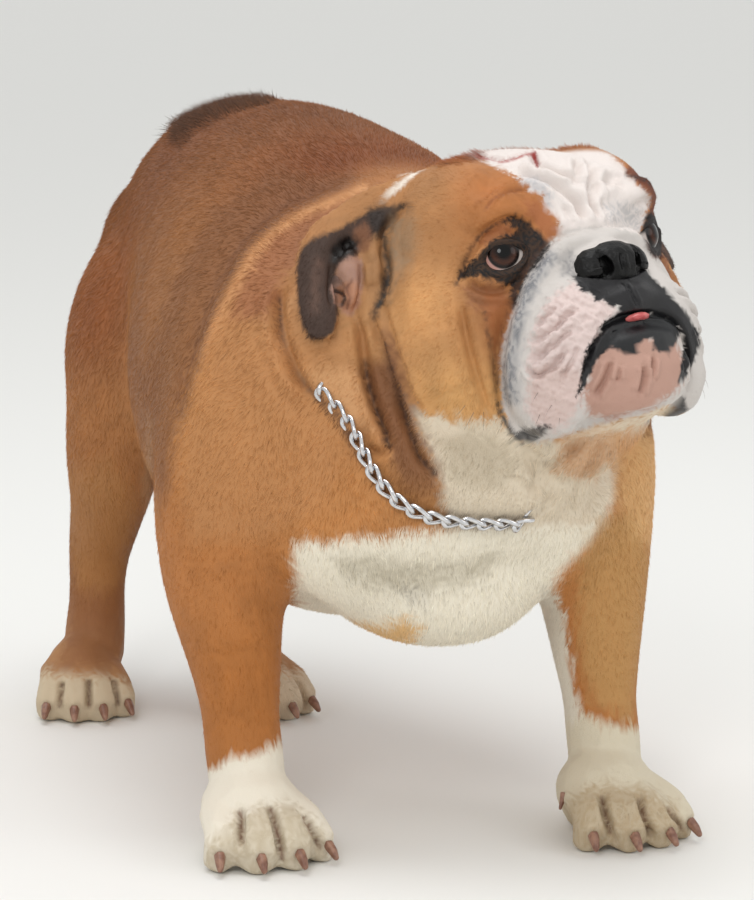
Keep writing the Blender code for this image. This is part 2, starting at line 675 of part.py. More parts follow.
def curb_link():
    """One oval link along X, twisted from end to end."""
    bm = bmesh.new()
    rings = []
    for i in range(LINK_SIDES):
        a = 2 * math.pi * i / LINK_SIDES
        reach = Vector((math.cos(a) * (LINK_LENGTH - LINK_WIRE) / 2,
                        math.sin(a) * (LINK_WIDTH - LINK_WIRE) / 2, 0))
        away = Vector((math.cos(a) / LINK_LENGTH, math.sin(a) / LINK_WIDTH, 0)).normalized()
        twist = Matrix.Rotation(LINK_TWIST * math.cos(a), 3, "X")
        ring = []
        for j in range(WIRE_SIDES):
            b = 2 * math.pi * (j + 0.5) / WIRE_SIDES
            point = reach + away * (math.cos(b) * LINK_WIRE / 2)
            point.z += math.sin(b) * LINK_WIRE / 2
            ring.append(bm.verts.new(twist @ point))
        rings.append(ring)
    for i in range(LINK_SIDES):
        for j in range(WIRE_SIDES):
            n, m = (i + 1) % LINK_SIDES, (j + 1) % WIRE_SIDES
            bm.faces.new((rings[i][j], rings[n][j], rings[n][m], rings[i][m]))
    bmesh.ops.recalc_face_normals(bm, faces=bm.faces)
    return bm


def chain(name, tree):
    """A closed curb chain: oval links, each caught in the next all round the neck."""
    links = bpy.data.collections.new("links")
    bpy.context.scene.collection.children.link(links)
    for spot, along, out in link_places(collar_path(tree)):
        up = out.cross(along).normalized()
        out = along.cross(up)
        lie = Matrix((along, up, out)).transposed().to_4x4()
        bm = curb_link()
        bm.transform(Matrix.Translation(spot + out * LINK_STAND) @ lie)
        lift_clear(bm, tree, out, LINK_CLEAR)
        link = add_object("link", bm)
        bpy.context.scene.collection.objects.unlink(link)
        links.objects.link(link)
    first, *others = list(links.objects)
    whole = copy_of(first, name)
    links.objects.unlink(first)
    join = whole.modifiers.new("Join", "BOOLEAN")
    join.operation = "UNION"
    join.solver = "EXACT"
    join.operand_type = "COLLECTION"
    join.collection = links
    applied(whole)
    remove(first, *others)
    bpy.data.collections.remove(links)
    return finish(largest(whole), "steel")


def named(masses, frame=None, drift=None):
    """One ball for each named mass."""
    made = []
    for name, (centre, radii, turn) in masses.items():
        aside = drift[name] if drift else 0.0
        made.append(ball((centre[0] + aside, centre[1], centre[2]), radii, turn, frame))
    return made


def named_pairs(masses, frame=None, drift=None):
    """A left and a right ball for each named mass."""
    made = []
    for name, (centre, radii, turn) in masses.items():
        aside = drift[name] if drift else 0.0
        for side in (1, -1):
            place = (side * centre[0] + aside, centre[1], centre[2])
            made.append(ball(place, radii, (turn[0], side * turn[1], side * turn[2]), frame))
    return made


def main():
    for obj in list(bpy.data.objects):
        bpy.data.objects.remove(obj)
    head_frame = head_matrix()

    trunk = []
    for y, drift, top, bottom, half in TRUNK:
        trunk.append((drift, y, (top + bottom) / 2, half, (top - bottom) / 2))
    pieces = [limb(trunk, sides=TRUNK_SIDES, power=TRUNK_POWER), limb(NECK, sides=NECK_SIDES)]
    pieces += named(BODY_MIDDLE, drift=TRUNK_DRIFT) + named_pairs(BODY_PAIRS, drift=TRUNK_DRIFT)
    for leg in (FORELEG_RIGHT, FORELEG_LEFT, HINDLEG_RIGHT, HINDLEG_LEFT):
        pieces.append(limb(leg))
    masses = fuse("masses", pieces)
    pieces = named(HEAD_MIDDLE, head_frame) + named_pairs(HEAD_PAIRS, head_frame)
    head_core = fuse("head_core", pieces)
    pieces = named(MUZZLE_MIDDLE, head_frame) + named_pairs(MUZZLE_PAIRS, head_frame)
    right_roll = [(-x, y, z, w, d) for x, y, z, w, d in reversed(NOSE_ROLL[1:])]
    pieces.append(limb(right_roll + list(NOSE_ROLL), head_frame, side_axis=(0, 1, 0)))
    muzzle = fuse("muzzle", pieces)
    pieces = [masses, head_core, muzzle]
    for spot, heading, width, length in PAWS.values():
        pieces += paw_pieces(spot, heading, width, length)
    body = fuse("torso", pieces)
    groove(body, collar_path(surface_of(body)), COLLAR_GROOVE, COLLAR_GROOVE_WIDTH)
    thin(body, BODY_FACES)
    stand_on_floor(body)

    jaw = fuse("lower_jaw", named(JAW_MIDDLE, head_frame), faces=JAW_FACES)
    carve(body, jaw)
    finish(jaw, "pink skin")
    tongue = ball(*TONGUE, frame=head_frame, detail=SMALL_DETAIL)
    tongue.name = "tongue"
    carve(tongue, body)
    carve(tongue, jaw)
    finish(tongue, "pink skin")
    nose = fuse("nose", named(NOSE_MASSES, head_frame), faces=NOSE_FACES)
    carve(nose, body)
    for side in (1, -1):
        centre, radii, turn = NOSTRIL
        pit = ball((side * centre[0], *centre[1:]), radii, turn, head_frame, SMALL_DETAIL)
        boolean(nose, pit, "DIFFERENCE")
        remove(pit)
    finish(nose, "black leather")
    for side, word in ((1, "left"), (-1, "right")):
        place = (side * EYE_PLACE[0], EYE_PLACE[1], EYE_PLACE[2])
        gap = (side * EYE_OPENING_PLACE[0], EYE_OPENING_PLACE[1], EYE_OPENING_PLACE[2])
        opening = ball(gap, EYE_OPENING, frame=head_frame, detail=SMALL_DETAIL)
        socket = ball(place, (EYE_RADIUS + GAP * 1.5,) * 3, frame=head_frame, detail=EYE_DETAIL)
        for hole in (opening, socket):
            boolean(body, hole, "DIFFERENCE")
        remove(opening, socket)
        eye = ball(place, (EYE_RADIUS,) * 3, frame=head_frame, detail=EYE_DETAIL)
        eye.name = "eye_" + word
        finish(eye, "eye")
    for side, word in ((1, "left"), (-1, "right")):
        flap = ear("ear_" + word, side, head_frame)
        carve(flap, body)
        finish(flap, "grizzle")
    tail = limb(TAIL, sides=TAIL_SIDES, steps=TAIL_STEPS)
    tail.name = "tail"
    carve(tail, body)
    finish(tail, "fawn")
    chain("collar_chain", surface_of(body, jaw))
    for word, (spot, heading, width, length) in PAWS.items():
        for number, toe in enumerate(TOES, 1):
            made = claw("claw_" + word + "_" + str(number), spot, heading, width, length, toe)
            carve(made, body)
            finish(made, "claw")

    share(body, "head", HEAD_PART, -FAR, FAR, "fawn")
    share(body, "neck", NECK_PART, -FAR, FAR, "fawn")
    for word, inner, outer in (("right", -FAR, 0.0), ("left", 0.0, FAR)):
        share(body, "forepaw_" + word, FOREPAW_PART, inner, outer, "white")
    share(body, "foreleg_right", FORELEG_PART, -FAR, FORELEG_INNER["right"], "fawn")
    share(body, "foreleg_left", FORELEG_PART, FORELEG_INNER["left"], FAR, "fawn")
    for word, inner, outer in (("right", -FAR, HIND_MIDDLE - GAP), ("left", HIND_MIDDLE, FAR)):
        share(body, "hindpaw_" + word, HINDPAW_PART, inner, outer, "fawn")
        share(body, "hindleg_" + word, HINDLEG_PART, inner, outer, "fawn")
    share(body, "loin", LOIN_PART, -FAR, FAR, "fawn")
    finish(body, "fawn")
    centre_on_floor()


def centre_on_floor():
    """Brings the middle of the whole outline over the origin."""
    corners = [v.co for obj in bpy.data.objects for v in obj.data.vertices]
    middle = Vector(((min(c.x for c in corners) + max(c.x for c in corners)) / 2,
                     (min(c.y for c in corners) + max(c.y for c in corners)) / 2, 0))
    for obj in bpy.data.objects:
        obj.data.transform(Matrix.Translation(-middle))
        obj.data.shade_flat()


main()
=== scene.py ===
# Looks of the standing english bulldog: one skin with its markings, painted shade and painted highlights, a
# short coat, eyes, nose, mouth, ears, claws and the curb chain. Metres, +Z up, the dog faces -Y.
import json
import math
import time
import bmesh
import bpy
import numpy as np
from mathutils import Euler, Matrix, Vector
from mathutils.bvhtree import BVHTree


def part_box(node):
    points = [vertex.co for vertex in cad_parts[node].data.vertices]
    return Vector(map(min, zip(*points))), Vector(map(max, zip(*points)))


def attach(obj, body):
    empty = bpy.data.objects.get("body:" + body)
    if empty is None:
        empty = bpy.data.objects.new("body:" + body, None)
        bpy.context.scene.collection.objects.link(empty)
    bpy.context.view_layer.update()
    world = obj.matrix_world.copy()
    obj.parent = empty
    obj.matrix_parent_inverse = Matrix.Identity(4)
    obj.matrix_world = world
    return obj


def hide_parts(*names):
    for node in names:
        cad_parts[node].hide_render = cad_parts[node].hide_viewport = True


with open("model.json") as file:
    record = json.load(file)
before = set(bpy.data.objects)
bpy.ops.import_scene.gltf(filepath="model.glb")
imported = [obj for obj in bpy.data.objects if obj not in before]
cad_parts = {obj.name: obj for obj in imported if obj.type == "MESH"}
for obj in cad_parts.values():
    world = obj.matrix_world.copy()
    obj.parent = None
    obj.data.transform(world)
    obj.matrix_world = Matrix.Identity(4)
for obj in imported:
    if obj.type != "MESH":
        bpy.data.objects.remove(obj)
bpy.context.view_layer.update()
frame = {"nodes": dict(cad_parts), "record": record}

began = time.perf_counter()


def stage(words):
    print(f"{time.perf_counter() - began:6.1f} s  {words}")


def deselectAll():
    if bpy.context.object and bpy.context.object.mode != "OBJECT":
        bpy.ops.object.mode_set(mode="OBJECT")
    bpy.ops.object.select_all(action="DESELECT")


def makeActive(obj):
    deselectAll()
    obj.select_set(True)
    bpy.context.view_layer.objects.active = obj


def boxMiddle(node):
    low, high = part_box(node)
    return (Vector(low) + Vector(high)) / 2


# Where the head is: the frame between the eyes, turned as the head is turned
headPose = {"yaw": 14.0, "pitch": 10.0, "roll": -2.5, "eyeBack": 0.0135, "eyeDrop": 0.001}
headTurn = (Euler((0, 0, math.radians(headPose["yaw"]))).to_matrix()
            @ Euler((-math.radians(headPose["pitch"]), 0, 0)).to_matrix()
            @ Euler((0, math.radians(headPose["roll"]), 0)).to_matrix())
eyeMiddle = {side: boxMiddle("eye_" + side) for side in ("right", "left")}
betweenEyes = (eyeMiddle["right"] + eyeMiddle["left"]) / 2
eyeMiddle["right"] = eyeMiddle["right"] + headTurn @ Vector((0.0012, -0.0012, 0.0))
headPlace = betweenEyes - headTurn @ Vector((0, headPose["eyeBack"], -headPose["eyeDrop"]))
headFrame = Matrix.Translation(headPlace) @ headTurn.to_4x4()
headInverse = headFrame.inverted()

# The camera stands where the photo was taken from
view = {
    "azimuth": -22.2, "elevation": 9.9, "distance": 2.2,
    "focalPixels": 3465.0, "imageWidth": 754, "imageHeight": 900, "sensor": 36.0,
    "aimFromHead": (-0.0226, 0.250, -0.1572),   # from the middle of the eyes to the aim point
}
viewAngles = [math.radians(view[k]) for k in ("azimuth", "elevation")]
viewBack = Vector((math.sin(viewAngles[0]) * math.cos(viewAngles[1]),
                   -math.cos(viewAngles[0]) * math.cos(viewAngles[1]), math.sin(viewAngles[1])))
viewTurn = viewBack.to_track_quat("Z", "Y")
cameraPlace = headPlace + Vector(view["aimFromHead"]) + viewBack * view["distance"]


def addCamera():
    data = bpy.data.cameras.new("camera")
    data.sensor_width = view["sensor"]
    data.lens = view["focalPixels"] * view["sensor"] / view["imageHeight"]
    camera = bpy.data.objects.new("camera", data)
    bpy.context.scene.collection.objects.link(camera)
    camera.location = cameraPlace
    camera.rotation_mode = "QUATERNION"
    camera.rotation_quaternion = viewTurn
    bpy.context.scene.camera = camera


def pixelRay(x, y):
    # the way from the camera through a pixel of the photo
    right = (x - view["imageWidth"] / 2) / view["focalPixels"]
    up = (view["imageHeight"] / 2 - y) / view["focalPixels"]
    return (viewTurn @ Vector((right, up, -1))).normalized()


addCamera()


def photoPixels(points):
    inverse = np.array(viewTurn.to_matrix().transposed())
    away = (points - np.array(cameraPlace)) @ inverse.T
    across = away[:, 0] / -away[:, 2] * view["focalPixels"] + view["imageWidth"] / 2
    down = view["imageHeight"] / 2 - away[:, 1] / -away[:, 2] * view["focalPixels"]
    return np.stack((across, down), axis=1)


def modify(obj, kind, **settings):
    makeActive(obj)
    step = obj.modifiers.new(kind.title(), kind)
    for name, value in settings.items():
        setattr(step, name, value)
    bpy.ops.object.modifier_apply(modifier=step.name)


def copyNode(node, name):
    # a merged copy of a CAD node's mesh
    copy = bpy.data.objects.new(name, frame["nodes"][node].data.copy())
    bpy.context.scene.collection.objects.link(copy)
    copy.data.materials.clear()
    makeActive(copy)
    bpy.ops.object.mode_set(mode="EDIT")
    bpy.ops.mesh.select_all(action="SELECT")
    bpy.ops.mesh.remove_doubles(threshold=0.00001)
    bpy.ops.object.mode_set(mode="OBJECT")
    return copy


def joinAll(pieces, name):
    makeActive(pieces[0])
    for piece in pieces:
        piece.select_set(True)
    bpy.ops.object.join()
    pieces[0].name = name
    return pieces[0]


def keepLargest(obj):
    makeActive(obj)
    bpy.ops.mesh.separate(type="LOOSE")
    parts = list(bpy.context.selected_objects)
    largest = max(parts, key=lambda part: len(part.data.vertices))
    for part in parts:
        if part != largest:
            bpy.data.objects.remove(part)
    return largest


def pointsOf(obj):
    found = np.empty(len(obj.data.vertices) * 3, dtype=np.float32)
    obj.data.vertices.foreach_get("co", found)
    return found.reshape(-1, 3).astype(np.float64)


def normalsOf(obj):
    found = np.empty(len(obj.data.vertices) * 3, dtype=np.float32)
    obj.data.vertices.foreach_get("normal", found)
    return found.reshape(-1, 3).astype(np.float64)


def movePoints(obj, points):
    obj.data.vertices.foreach_set("co", points.astype(np.float32).ravel())
    obj.data.update()


def moved(matrix, points):
    grid = np.array(matrix)
    return points @ grid[:3, :3].T + grid[:3, 3]


def ramp(values, low, high):
    share = np.clip((values - low) / (high - low), 0.0, 1.0)
    return share * share * (3 - 2 * share)


def weightGroup(obj, name, weights, levels=16):
    group = obj.vertex_groups.new(name=name)
    steps = np.round(np.clip(weights, 0, 1) * levels).astype(int)
    for level in range(1, levels + 1):
        members = np.nonzero(steps == level)[0]
        if len(members):
            group.add(members.tolist(), level / levels, "REPLACE")


# The skin: every node of flesh but the jaw, melted into one surface a little under the CAD's
skinShape = {
    "voxel": 0.0017, "gapGrow": 0.0004,
    "bodyRounds": 70, "fineRounds": 4,    # how long the flats of the solids are eased out
    "coatDepth": {"body": 0.0020, "head": 0.0010, "face": 0.0004, "feet": 0.0006},
    "triangles": 190000, "evenness": 1e-6,
    "fineness": {"body": 0.26, "head": 0.45, "face": 0.90, "ears": 0.75, "feet": 0.60},
}
coatNodes = [part["node"] for part in frame["record"]["subparts"] if part["material_slot"] == "coat"]
skinNodes = list(coatNodes)


def regionsOf(points):
    # how far each point belongs to the head, the face, the ears and the feet, from 0 to 1
    local = moved(headInverse, points)
    sideways = np.abs(local[:, 0])
    head = 1 - ramp(np.linalg.norm((local - (0, 0.055, -0.02)) / (1, 1, 1.1), axis=1), 0.11, 0.16)
    face = head * (1 - ramp(local[:, 1], 0.030, 0.060))
    ears = ramp(sideways, 0.074, 0.084) * ramp(local[:, 1], 0.062, 0.070)
    ears = ears * ramp(local[:, 2], -0.056, -0.044) * (1 - ramp(local[:, 1], 0.112, 0.122))
    ears = ears * (1 - ramp(np.linalg.norm(local - (0, 0.055, -0.01), axis=1), 0.145, 0.165))
    feet = 1 - ramp(points[:, 2], 0.045, 0.085)
    return {"head": head, "face": face, "ears": ears, "feet": feet, "local": local}


def makeSkin():
    copies = []
    for node in skinNodes + ["eye_right", "eye_left", "nose"]:
        copy = copyNode(node, "skin_" + node)
        if node == "lower_jaw":
            openMouth(copy)
        else:
            modify(copy, "DISPLACE", strength=skinShape["gapGrow"], mid_level=0.0)
        copies.append(copy)
    made = joinAll(copies, "skin")
    modify(made, "REMESH", mode="VOXEL", voxel_size=skinShape["voxel"])
    made = keepLargest(made)
    made.name = "skin"
    stage(f"skin melted, {len(made.data.vertices)} points")
    parts = regionsOf(pointsOf(made))
    looseness = (1 - 0.55 * parts["head"]) * (1 - 0.75 * parts["face"]) * (1 - 0.97 * parts["ears"])
    looseness = looseness * (1 - 0.92 * parts["feet"])
    weightGroup(made, "loose", looseness)
    modify(made, "SMOOTH", factor=0.5, iterations=skinShape["bodyRounds"], vertex_group="loose")
    modify(made, "SMOOTH", factor=0.5, iterations=skinShape["fineRounds"])
    points, normals = pointsOf(made), normalsOf(made)
    parts = regionsOf(points)
    depth = skinShape["coatDepth"]
    under = depth["body"] + (depth["head"] - depth["body"]) * parts["head"]
    under = under + (depth["face"] - under) * np.maximum(parts["face"], parts["ears"])
    under = under + (depth["feet"] - under) * parts["feet"]
    movePoints(made, points - normals * under[:, None])
    made.vertex_groups.clear()
    return made


def openMouth(jaw):
    # the jaw stands back from the lips, and its underside grows into the throat
    points, normals = pointsOf(jaw), normalsOf(jaw)
    local = moved(headInverse, points)
    low, high = mouthShape["throatLevel"]
    free = ramp(local[:, 2], low, high)
    grow = mouthShape["throatGrow"] * (1 - free) - mouthShape["lipGap"] * free
    movePoints(jaw, points + normals * grow[:, None])


def subdivideNear(obj, places):
    # finer faces within the given reach of each place
    points = pointsOf(obj)
    near = np.zeros(len(points), dtype=bool)
    for place, reach in places:
        near |= np.linalg.norm(points - np.array(place), axis=1) < reach
    makeActive(obj)
    bpy.ops.object.mode_set(mode="EDIT")
    bpy.ops.mesh.select_all(action="DESELECT")
    bpy.ops.object.mode_set(mode="OBJECT")
    corners = np.empty(len(obj.data.loops), dtype=np.int32)
    obj.data.loops.foreach_get("vertex_index", corners)
    starts = np.empty(len(obj.data.polygons), dtype=np.int32)
    obj.data.polygons.foreach_get("loop_start", starts)
    inside = np.logical_and.reduceat(near[corners], starts)
    obj.data.polygons.foreach_set("select", inside)
    bpy.ops.object.mode_set(mode="EDIT")
    bpy.ops.mesh.select_mode(type="FACE")
    bpy.ops.mesh.subdivide(number_cuts=1, smoothness=0.0)
    bpy.ops.object.mode_set(mode="OBJECT")


def treeOf(obj):
    return BVHTree.FromObject(obj, bpy.context.evaluated_depsgraph_get())


def smoothLine(points, gap=0.001):
    # a close row of points on a smooth curve through the given ones
    ends = [2 * points[0] - points[1]] + list(points) + [2 * points[-1] - points[-2]]
    row = []
    for before, here, there, after in zip(ends, ends[1:], ends[2:], ends[3:]):
        count = max(2, int((there - here).length / gap))
        for step in range(count):
            t = step / count
            row.append(0.5 * (2 * here + (there - before) * t
                              + (2 * before - 5 * here + 4 * there - after) * t * t
                              + (3 * here - before - 3 * there + after) * t ** 3))
    row.append(points[-1])
    return np.array(row)


def pixelLine(tree, pixels):
    # where a line drawn on the photo lies on the skin
    found = []
    for pixel in pixels:
        hit = tree.ray_cast(cameraPlace, pixelRay(*pixel))[0]
        if hit is not None:
            found.append(hit)
    return found


def otherSide(tree, row):
    # the same line on the other side of the head
    flip = headFrame @ Matrix.Diagonal((-1, 1, 1, 1)) @ headInverse
    return [tree.find_nearest(flip @ point)[0] for point in row]


def press(points, normals, row, width, depth, swell):
    # presses a crease in along a row of points, with the skin a little swollen on both sides
    line = smoothLine(row)
    reach = width * 5
    near = np.all((points > line.min(0) - reach) & (points < line.max(0) + reach), axis=1)
    picked = np.nonzero(near)[0]
    if not len(picked):
        return
    best = np.full(len(picked), 9.0)
    share = np.zeros(len(picked))
    for k, spot in enumerate(line):
        away = np.linalg.norm(points[picked] - spot, axis=1)
        closer = away < best
        best[closer] = away[closer]
        share[closer] = k / (len(line) - 1)
    fade = ramp(np.minimum(share, 1 - share), -0.06, 0.16)
    dip = np.exp(-(best / width) ** 2)
    bank = np.exp(-((best - 2.3 * width) / (1.2 * width)) ** 2)
    points[picked] += normals[picked] * (fade * (swell * bank - depth * dip))[:, None]


def pressAll(obj, lines, tree):
    # every line of a dictionary; those marked "one" are on the photo's side only
    points, normals = pointsOf(obj), normalsOf(obj)
    for name, (width, depth, swell, sides, pixels) in lines.items():
        row = pixelLine(tree, pixels)
        if len(row) < 2:
            print("no skin under", name)
            continue
        press(points, normals, row, width, depth, swell)
        if sides == "both":
            press(points, normals, otherSide(tree, row), width, depth, swell)
    movePoints(obj, points)


mouthShape = {"throatLevel": (-0.090, -0.080), "throatGrow": 0.0009, "lipGap": 0.0030}

# Big forms first. Each line: width, depth (below 0 is a ridge), swelling beside it, sides, pixels
formLines = {
    "nose roll": (0.0065, -0.0016, 0, "both", [
        (607, 236), (588, 237), (570, 241), (553, 252), (541, 270), (531, 290), (522, 315), (515, 345),
        (513, 375), (515, 402), (521, 425)]),
    "muzzle edge": (0.0036, 0.0046, 0.0010, "both", [
        (607, 226), (588, 227), (572, 230), (557, 234), (543, 247), (530, 266), (519, 286), (511, 307),
        (504, 330), (499, 356), (499, 383), (502, 406), (508, 430)]),
    "cheek": (0.020, -0.0030, 0, "both", [(420, 330), (430, 365), (445, 395)]),
    "inner cheek roll": (0.0050, -0.0016, 0, "both", [(474, 300), (479, 330), (487, 365), (494, 395)]),
    "brow ridge": (0.0085, -0.0030, 0, "both", [(468, 235), (482, 215), (500, 207), (520, 205), (540, 214)]),
    "neck lobe": (0.013, -0.0040, 0, "one", [(316, 350), (328, 385), (345, 415), (362, 436)]),
    "shoulder roll": (0.013, -0.0045, 0.0, "one", [
        (366, 187), (336, 200), (305, 213), (277, 230), (255, 253), (240, 276), (227, 300), (214, 328),
        (200, 370)]),
    "behind the shoulder": (0.013, 0.0050, 0.0, "one", [
        (350, 170), (318, 184), (284, 199), (254, 219), (230, 248), (211, 284), (195, 326), (182, 380),
        (172, 440)]),
    "chest front": (0.022, -0.0040, 0, "one", [(330, 540), (370, 560), (420, 570)]),
    "lower lip": (0.0030, -0.0016, 0, "one", [
        (604, 338), (612, 331), (624, 325), (640, 321), (658, 320), (670, 326)]),
    "nape crease": (0.0038, 0.0060, 0.0026, "one", [
        (284, 285), (279, 302), (281, 330), (287, 352), (296, 370), (306, 384), (314, 393)]),
    "throat fold": (0.0060, 0.0040, 0.0020, "one", [(548, 452), (552, 475), (545, 500), (532, 518)]),
    "throat fold too": (0.0060, 0.0040, 0.0020, "one", [(600, 440), (592, 462), (576, 485), (562, 505)]),
    "forearm muscle": (0.018, -0.0030, 0, "one", [(215, 560), (222, 610), (232, 655)]),
}
foldLines = {
    "cheek fold": (0.0024, 0.0034, 0.0013, "both", [
        (459, 300), (463, 322), (469, 349), (477, 378), (486, 402), (493, 414)]),
    "under eye": (0.0022, 0.0024, 0.0011, "both", [
        (466, 281), (478, 289), (495, 292), (512, 286), (524, 276)]),
    "under eye again": (0.0020, 0.0009, 0.0005, "both", [(463, 293), (479, 303), (499, 304)]),
    "brow": (0.0022, 0.0030, 0.0012, "both", [
        (457, 284), (463, 267), (471, 250), (481, 234), (494, 225), (507, 219), (522, 222)]),
    "high brow": (0.0020, 0.0018, 0.0010, "both", [
        (485, 210), (491, 202), (498, 196), (510, 192), (522, 190), (530, 193)]),
    "temple": (0.0040, 0.0012, 0.0008, "both", [(487, 205), (488, 186), (496, 172)]),
    "crown": (0.0018, 0.0028, 0.0010, "both", [
        (478, 157), (490, 158), (504, 161), (514, 158), (524, 155), (533, 154)]),
    "crown nick": (0.0022, 0.0040, 0.0006, "one", [(532, 153), (535, 160), (537, 168)]),
    "furrow one": (0.0022, 0.0036, 0.0018, "both", [
        (537, 168), (548, 170), (560, 175), (569, 179), (573, 186)]),
    "furrow two": (0.0026, 0.0046, 0.0022, "both", [
        (516, 173), (528, 174), (543, 178), (556, 185), (567, 194), (577, 206), (583, 221)]),
    "furrow three": (0.0022, 0.0032, 0.0014, "both", [
        (553, 187), (558, 196), (565, 206), (570, 216), (573, 227)]),
    "far furrow": (0.0026, 0.0023, 0.0014, "one", [(590, 194), (597, 186), (611, 181), (625, 186)]),
    "pad one": (0.0016, 0.0027, 0.0016, "both", [
        (579, 307), (566, 317), (555, 328), (543, 336), (533, 341)]),
    "pad two": (0.0016, 0.0027, 0.0016, "both", [
        (572, 328), (560, 338), (552, 347), (542, 354), (532, 358)]),
    "pad three": (0.0017, 0.0033, 0.0017, "both", [
        (566, 351), (557, 363), (549, 370), (540, 374), (532, 373), (527, 366)]),
    "pad four": (0.0015, 0.0022, 0.0012, "both", [(556, 306), (548, 315), (538, 325)]),
    "pad five": (0.0015, 0.0020, 0.0012, "both", [(578, 345), (570, 362), (560, 378)]),
    "mouth line": (0.0017, 0.0050, 0.0, "one", [
        (583, 404), (583, 385), (588, 365), (594, 346), (600, 334), (609, 324), (622, 318), (638, 315),
        (655, 314), (668, 317), (679, 325), (685, 338), (688, 355), (689, 373), (687, 390)]),
    "chin one": (0.0016, 0.0034, 0.0016, "both", [(611, 361), (608, 372), (603, 383), (595, 395)]),
    "chin two": (0.0014, 0.0023, 0.0012, "both", [(618, 366), (617, 381)]),
    "chin three": (0.0016, 0.0034, 0.0016, "one", [(645, 366), (644, 380), (640, 394)]),
    "chin four": (0.0014, 0.0029, 0.0014, "one", [(654, 357), (653, 368), (651, 378)]),
    "lip split": (0.0012, 0.0022, 0.0006, "one", [
        (623, 281), (627, 285), (631, 291), (635, 299), (638, 306)]),
    "under chin": (0.0030, 0.0030, 0.0010, "one", [
        (575, 426), (595, 423), (612, 417), (633, 414), (655, 409), (668, 400)]),
    "dewlap one": (0.0050, 0.0049, 0.0028, "one", [(524, 446), (536, 462), (539, 480), (526, 494)]),
    "dewlap two": (0.0040, 0.0046, 0.0021, "one", [
        (544, 462), (570, 450), (597, 435), (630, 426), (655, 417)]),
    "neck one": (0.0026, 0.0052, 0.0018, "both", [
        (356, 316), (361, 335), (364, 355), (368, 380), (376, 408), (385, 432), (389, 447)]),
    "neck lobe end": (0.0026, 0.0032, 0.0008, "both", [(390, 446), (381, 452), (366, 449)]),
    "neck two": (0.0024, 0.0042, 0.0014, "both", [
        (372, 322), (384, 350), (394, 378), (402, 405), (410, 432), (420, 458), (434, 475)]),
    "neck three": (0.0028, 0.0026, 0.0010, "both", [
        (382, 305), (391, 335), (401, 365), (411, 395), (421, 425), (432, 452)]),
}
footLines = {
    "right toes one": (0.0021, 0.0062, 0.0011, "one", [(240, 806), (241, 818), (241, 832), (241, 848)]),
    "right toes two": (0.0021, 0.0062, 0.0011, "one", [
        (269, 804), (273, 816), (277, 830), (280, 846), (282, 860)]),
    "right toes three": (0.0020, 0.0056, 0.0010, "one", [(301, 812), (308, 824), (315, 837), (322, 850)]),
    "left toes one": (0.0021, 0.0062, 0.0011, "one", [(601, 794), (604, 808), (608, 822), (612, 838)]),
    "left toes two": (0.0021, 0.0062, 0.0011, "one", [(638, 796), (642, 810), (647, 824), (652, 840)]),
    "left toes three": (0.0020, 0.0056, 0.0010, "one", [(666, 804), (673, 816), (681, 829)]),
    "hind toes one": (0.0020, 0.0050, 0.0009, "one", [(62, 680), (61, 692), (60, 708)]),
    "hind toes two": (0.0020, 0.0050, 0.0009, "one", [(89, 678), (89, 692), (89, 708)]),
    "hind toes three": (0.0020, 0.0050, 0.0009, "one", [(113, 678), (116, 692), (118, 706)]),
    "far hind toes": (0.0020, 0.0050, 0.0009, "one", [(296, 680), (302, 692), (306, 706)]),
}

# Creases of the ears
earLines = {
    "before the ear": (0.0024, 0.0040, 0.0010, "both", [
        (402, 208), (391, 221), (384, 236), (384, 252), (387, 268), (385, 288), (378, 306)]),
    "ear fold": (0.0030, 0.0040, 0.0006, "both", [(352, 243), (346, 245), (340, 250), (337, 257)]),
    "flap edge": (0.0016, 0.0026, 0.0, "both", [(332, 262), (331, 278), (330, 292), (332, 306)]),
    "burr split": (0.0012, 0.0022, 0.0005, "both", [(334, 291), (341, 292), (345, 298), (341, 306)]),
    "tragus back": (0.0016, 0.0028, 0.0008, "both", [(361, 262), (362, 280), (359, 300), (352, 316)]),
    "tragus": (0.0030, -0.0016, 0, "both", [(370, 270), (371, 290), (368, 312), (364, 326)]),
}
eyeReach = 0.024


def shapeSkin(made):
    tree = treeOf(made)
    pressAll(made, formLines, tree)
    local = [((side * 0.050, 0.012, 0.0), 0.034) for side in (-1, 1)]
    local += [((0, -0.02, -0.05), 0.062), ((0, 0.03, 0.03), 0.050), ((-0.104, 0.086, 0.0), 0.038),
              ((0.106, 0.086, 0.0), 0.040), ((-0.06, 0.0, -0.06), 0.040), ((0.06, 0.0, -0.06), 0.040)]
    subdivideNear(made, [(headFrame @ Vector(place), reach) for place, reach in local])
    subdivideNear(made, [(eyeMiddle[side], eyeReach) for side in eyeMiddle])
    stage(f"face made finer, {len(made.data.vertices)} points")
    tree = treeOf(made)
    pressAll(made, foldLines, tree)
    pressAll(made, earLines, tree)
    pressAll(made, footLines, tree)
    points, normals = pointsOf(made), normalsOf(made)
    cover = coverOf(points, normals, "pads")
    knobs = cover * knobShape["height"] * wave(points, knobShape["size"], 12)
    movePoints(made, points + normals * knobs[:, None])


knobShape = {"size": 0.0064, "height": 0.00075}


# Each eye: the lids follow the ball round an opening given in degrees from the eye's axis
eyeShape = {
    "radius": 0.0135, "outer": 44.0, "inner": 68.0, "top": 28.0, "bottom": 35.0,
    "innerLift": 3.0, "rimGap": 0.0010, "lidThickness": 0.0013, "sink": 0.0030,
    "hold": 5.0, "letGo": 24.0, "roundness": 0.0004,
    "gaze": {"right": (8.0, 11.0), "left": (4.0, 6.0)},
    "irisAngle": 38.0, "pupilAngle": 15.0, "reach": (0.0175, 0.0225),
}


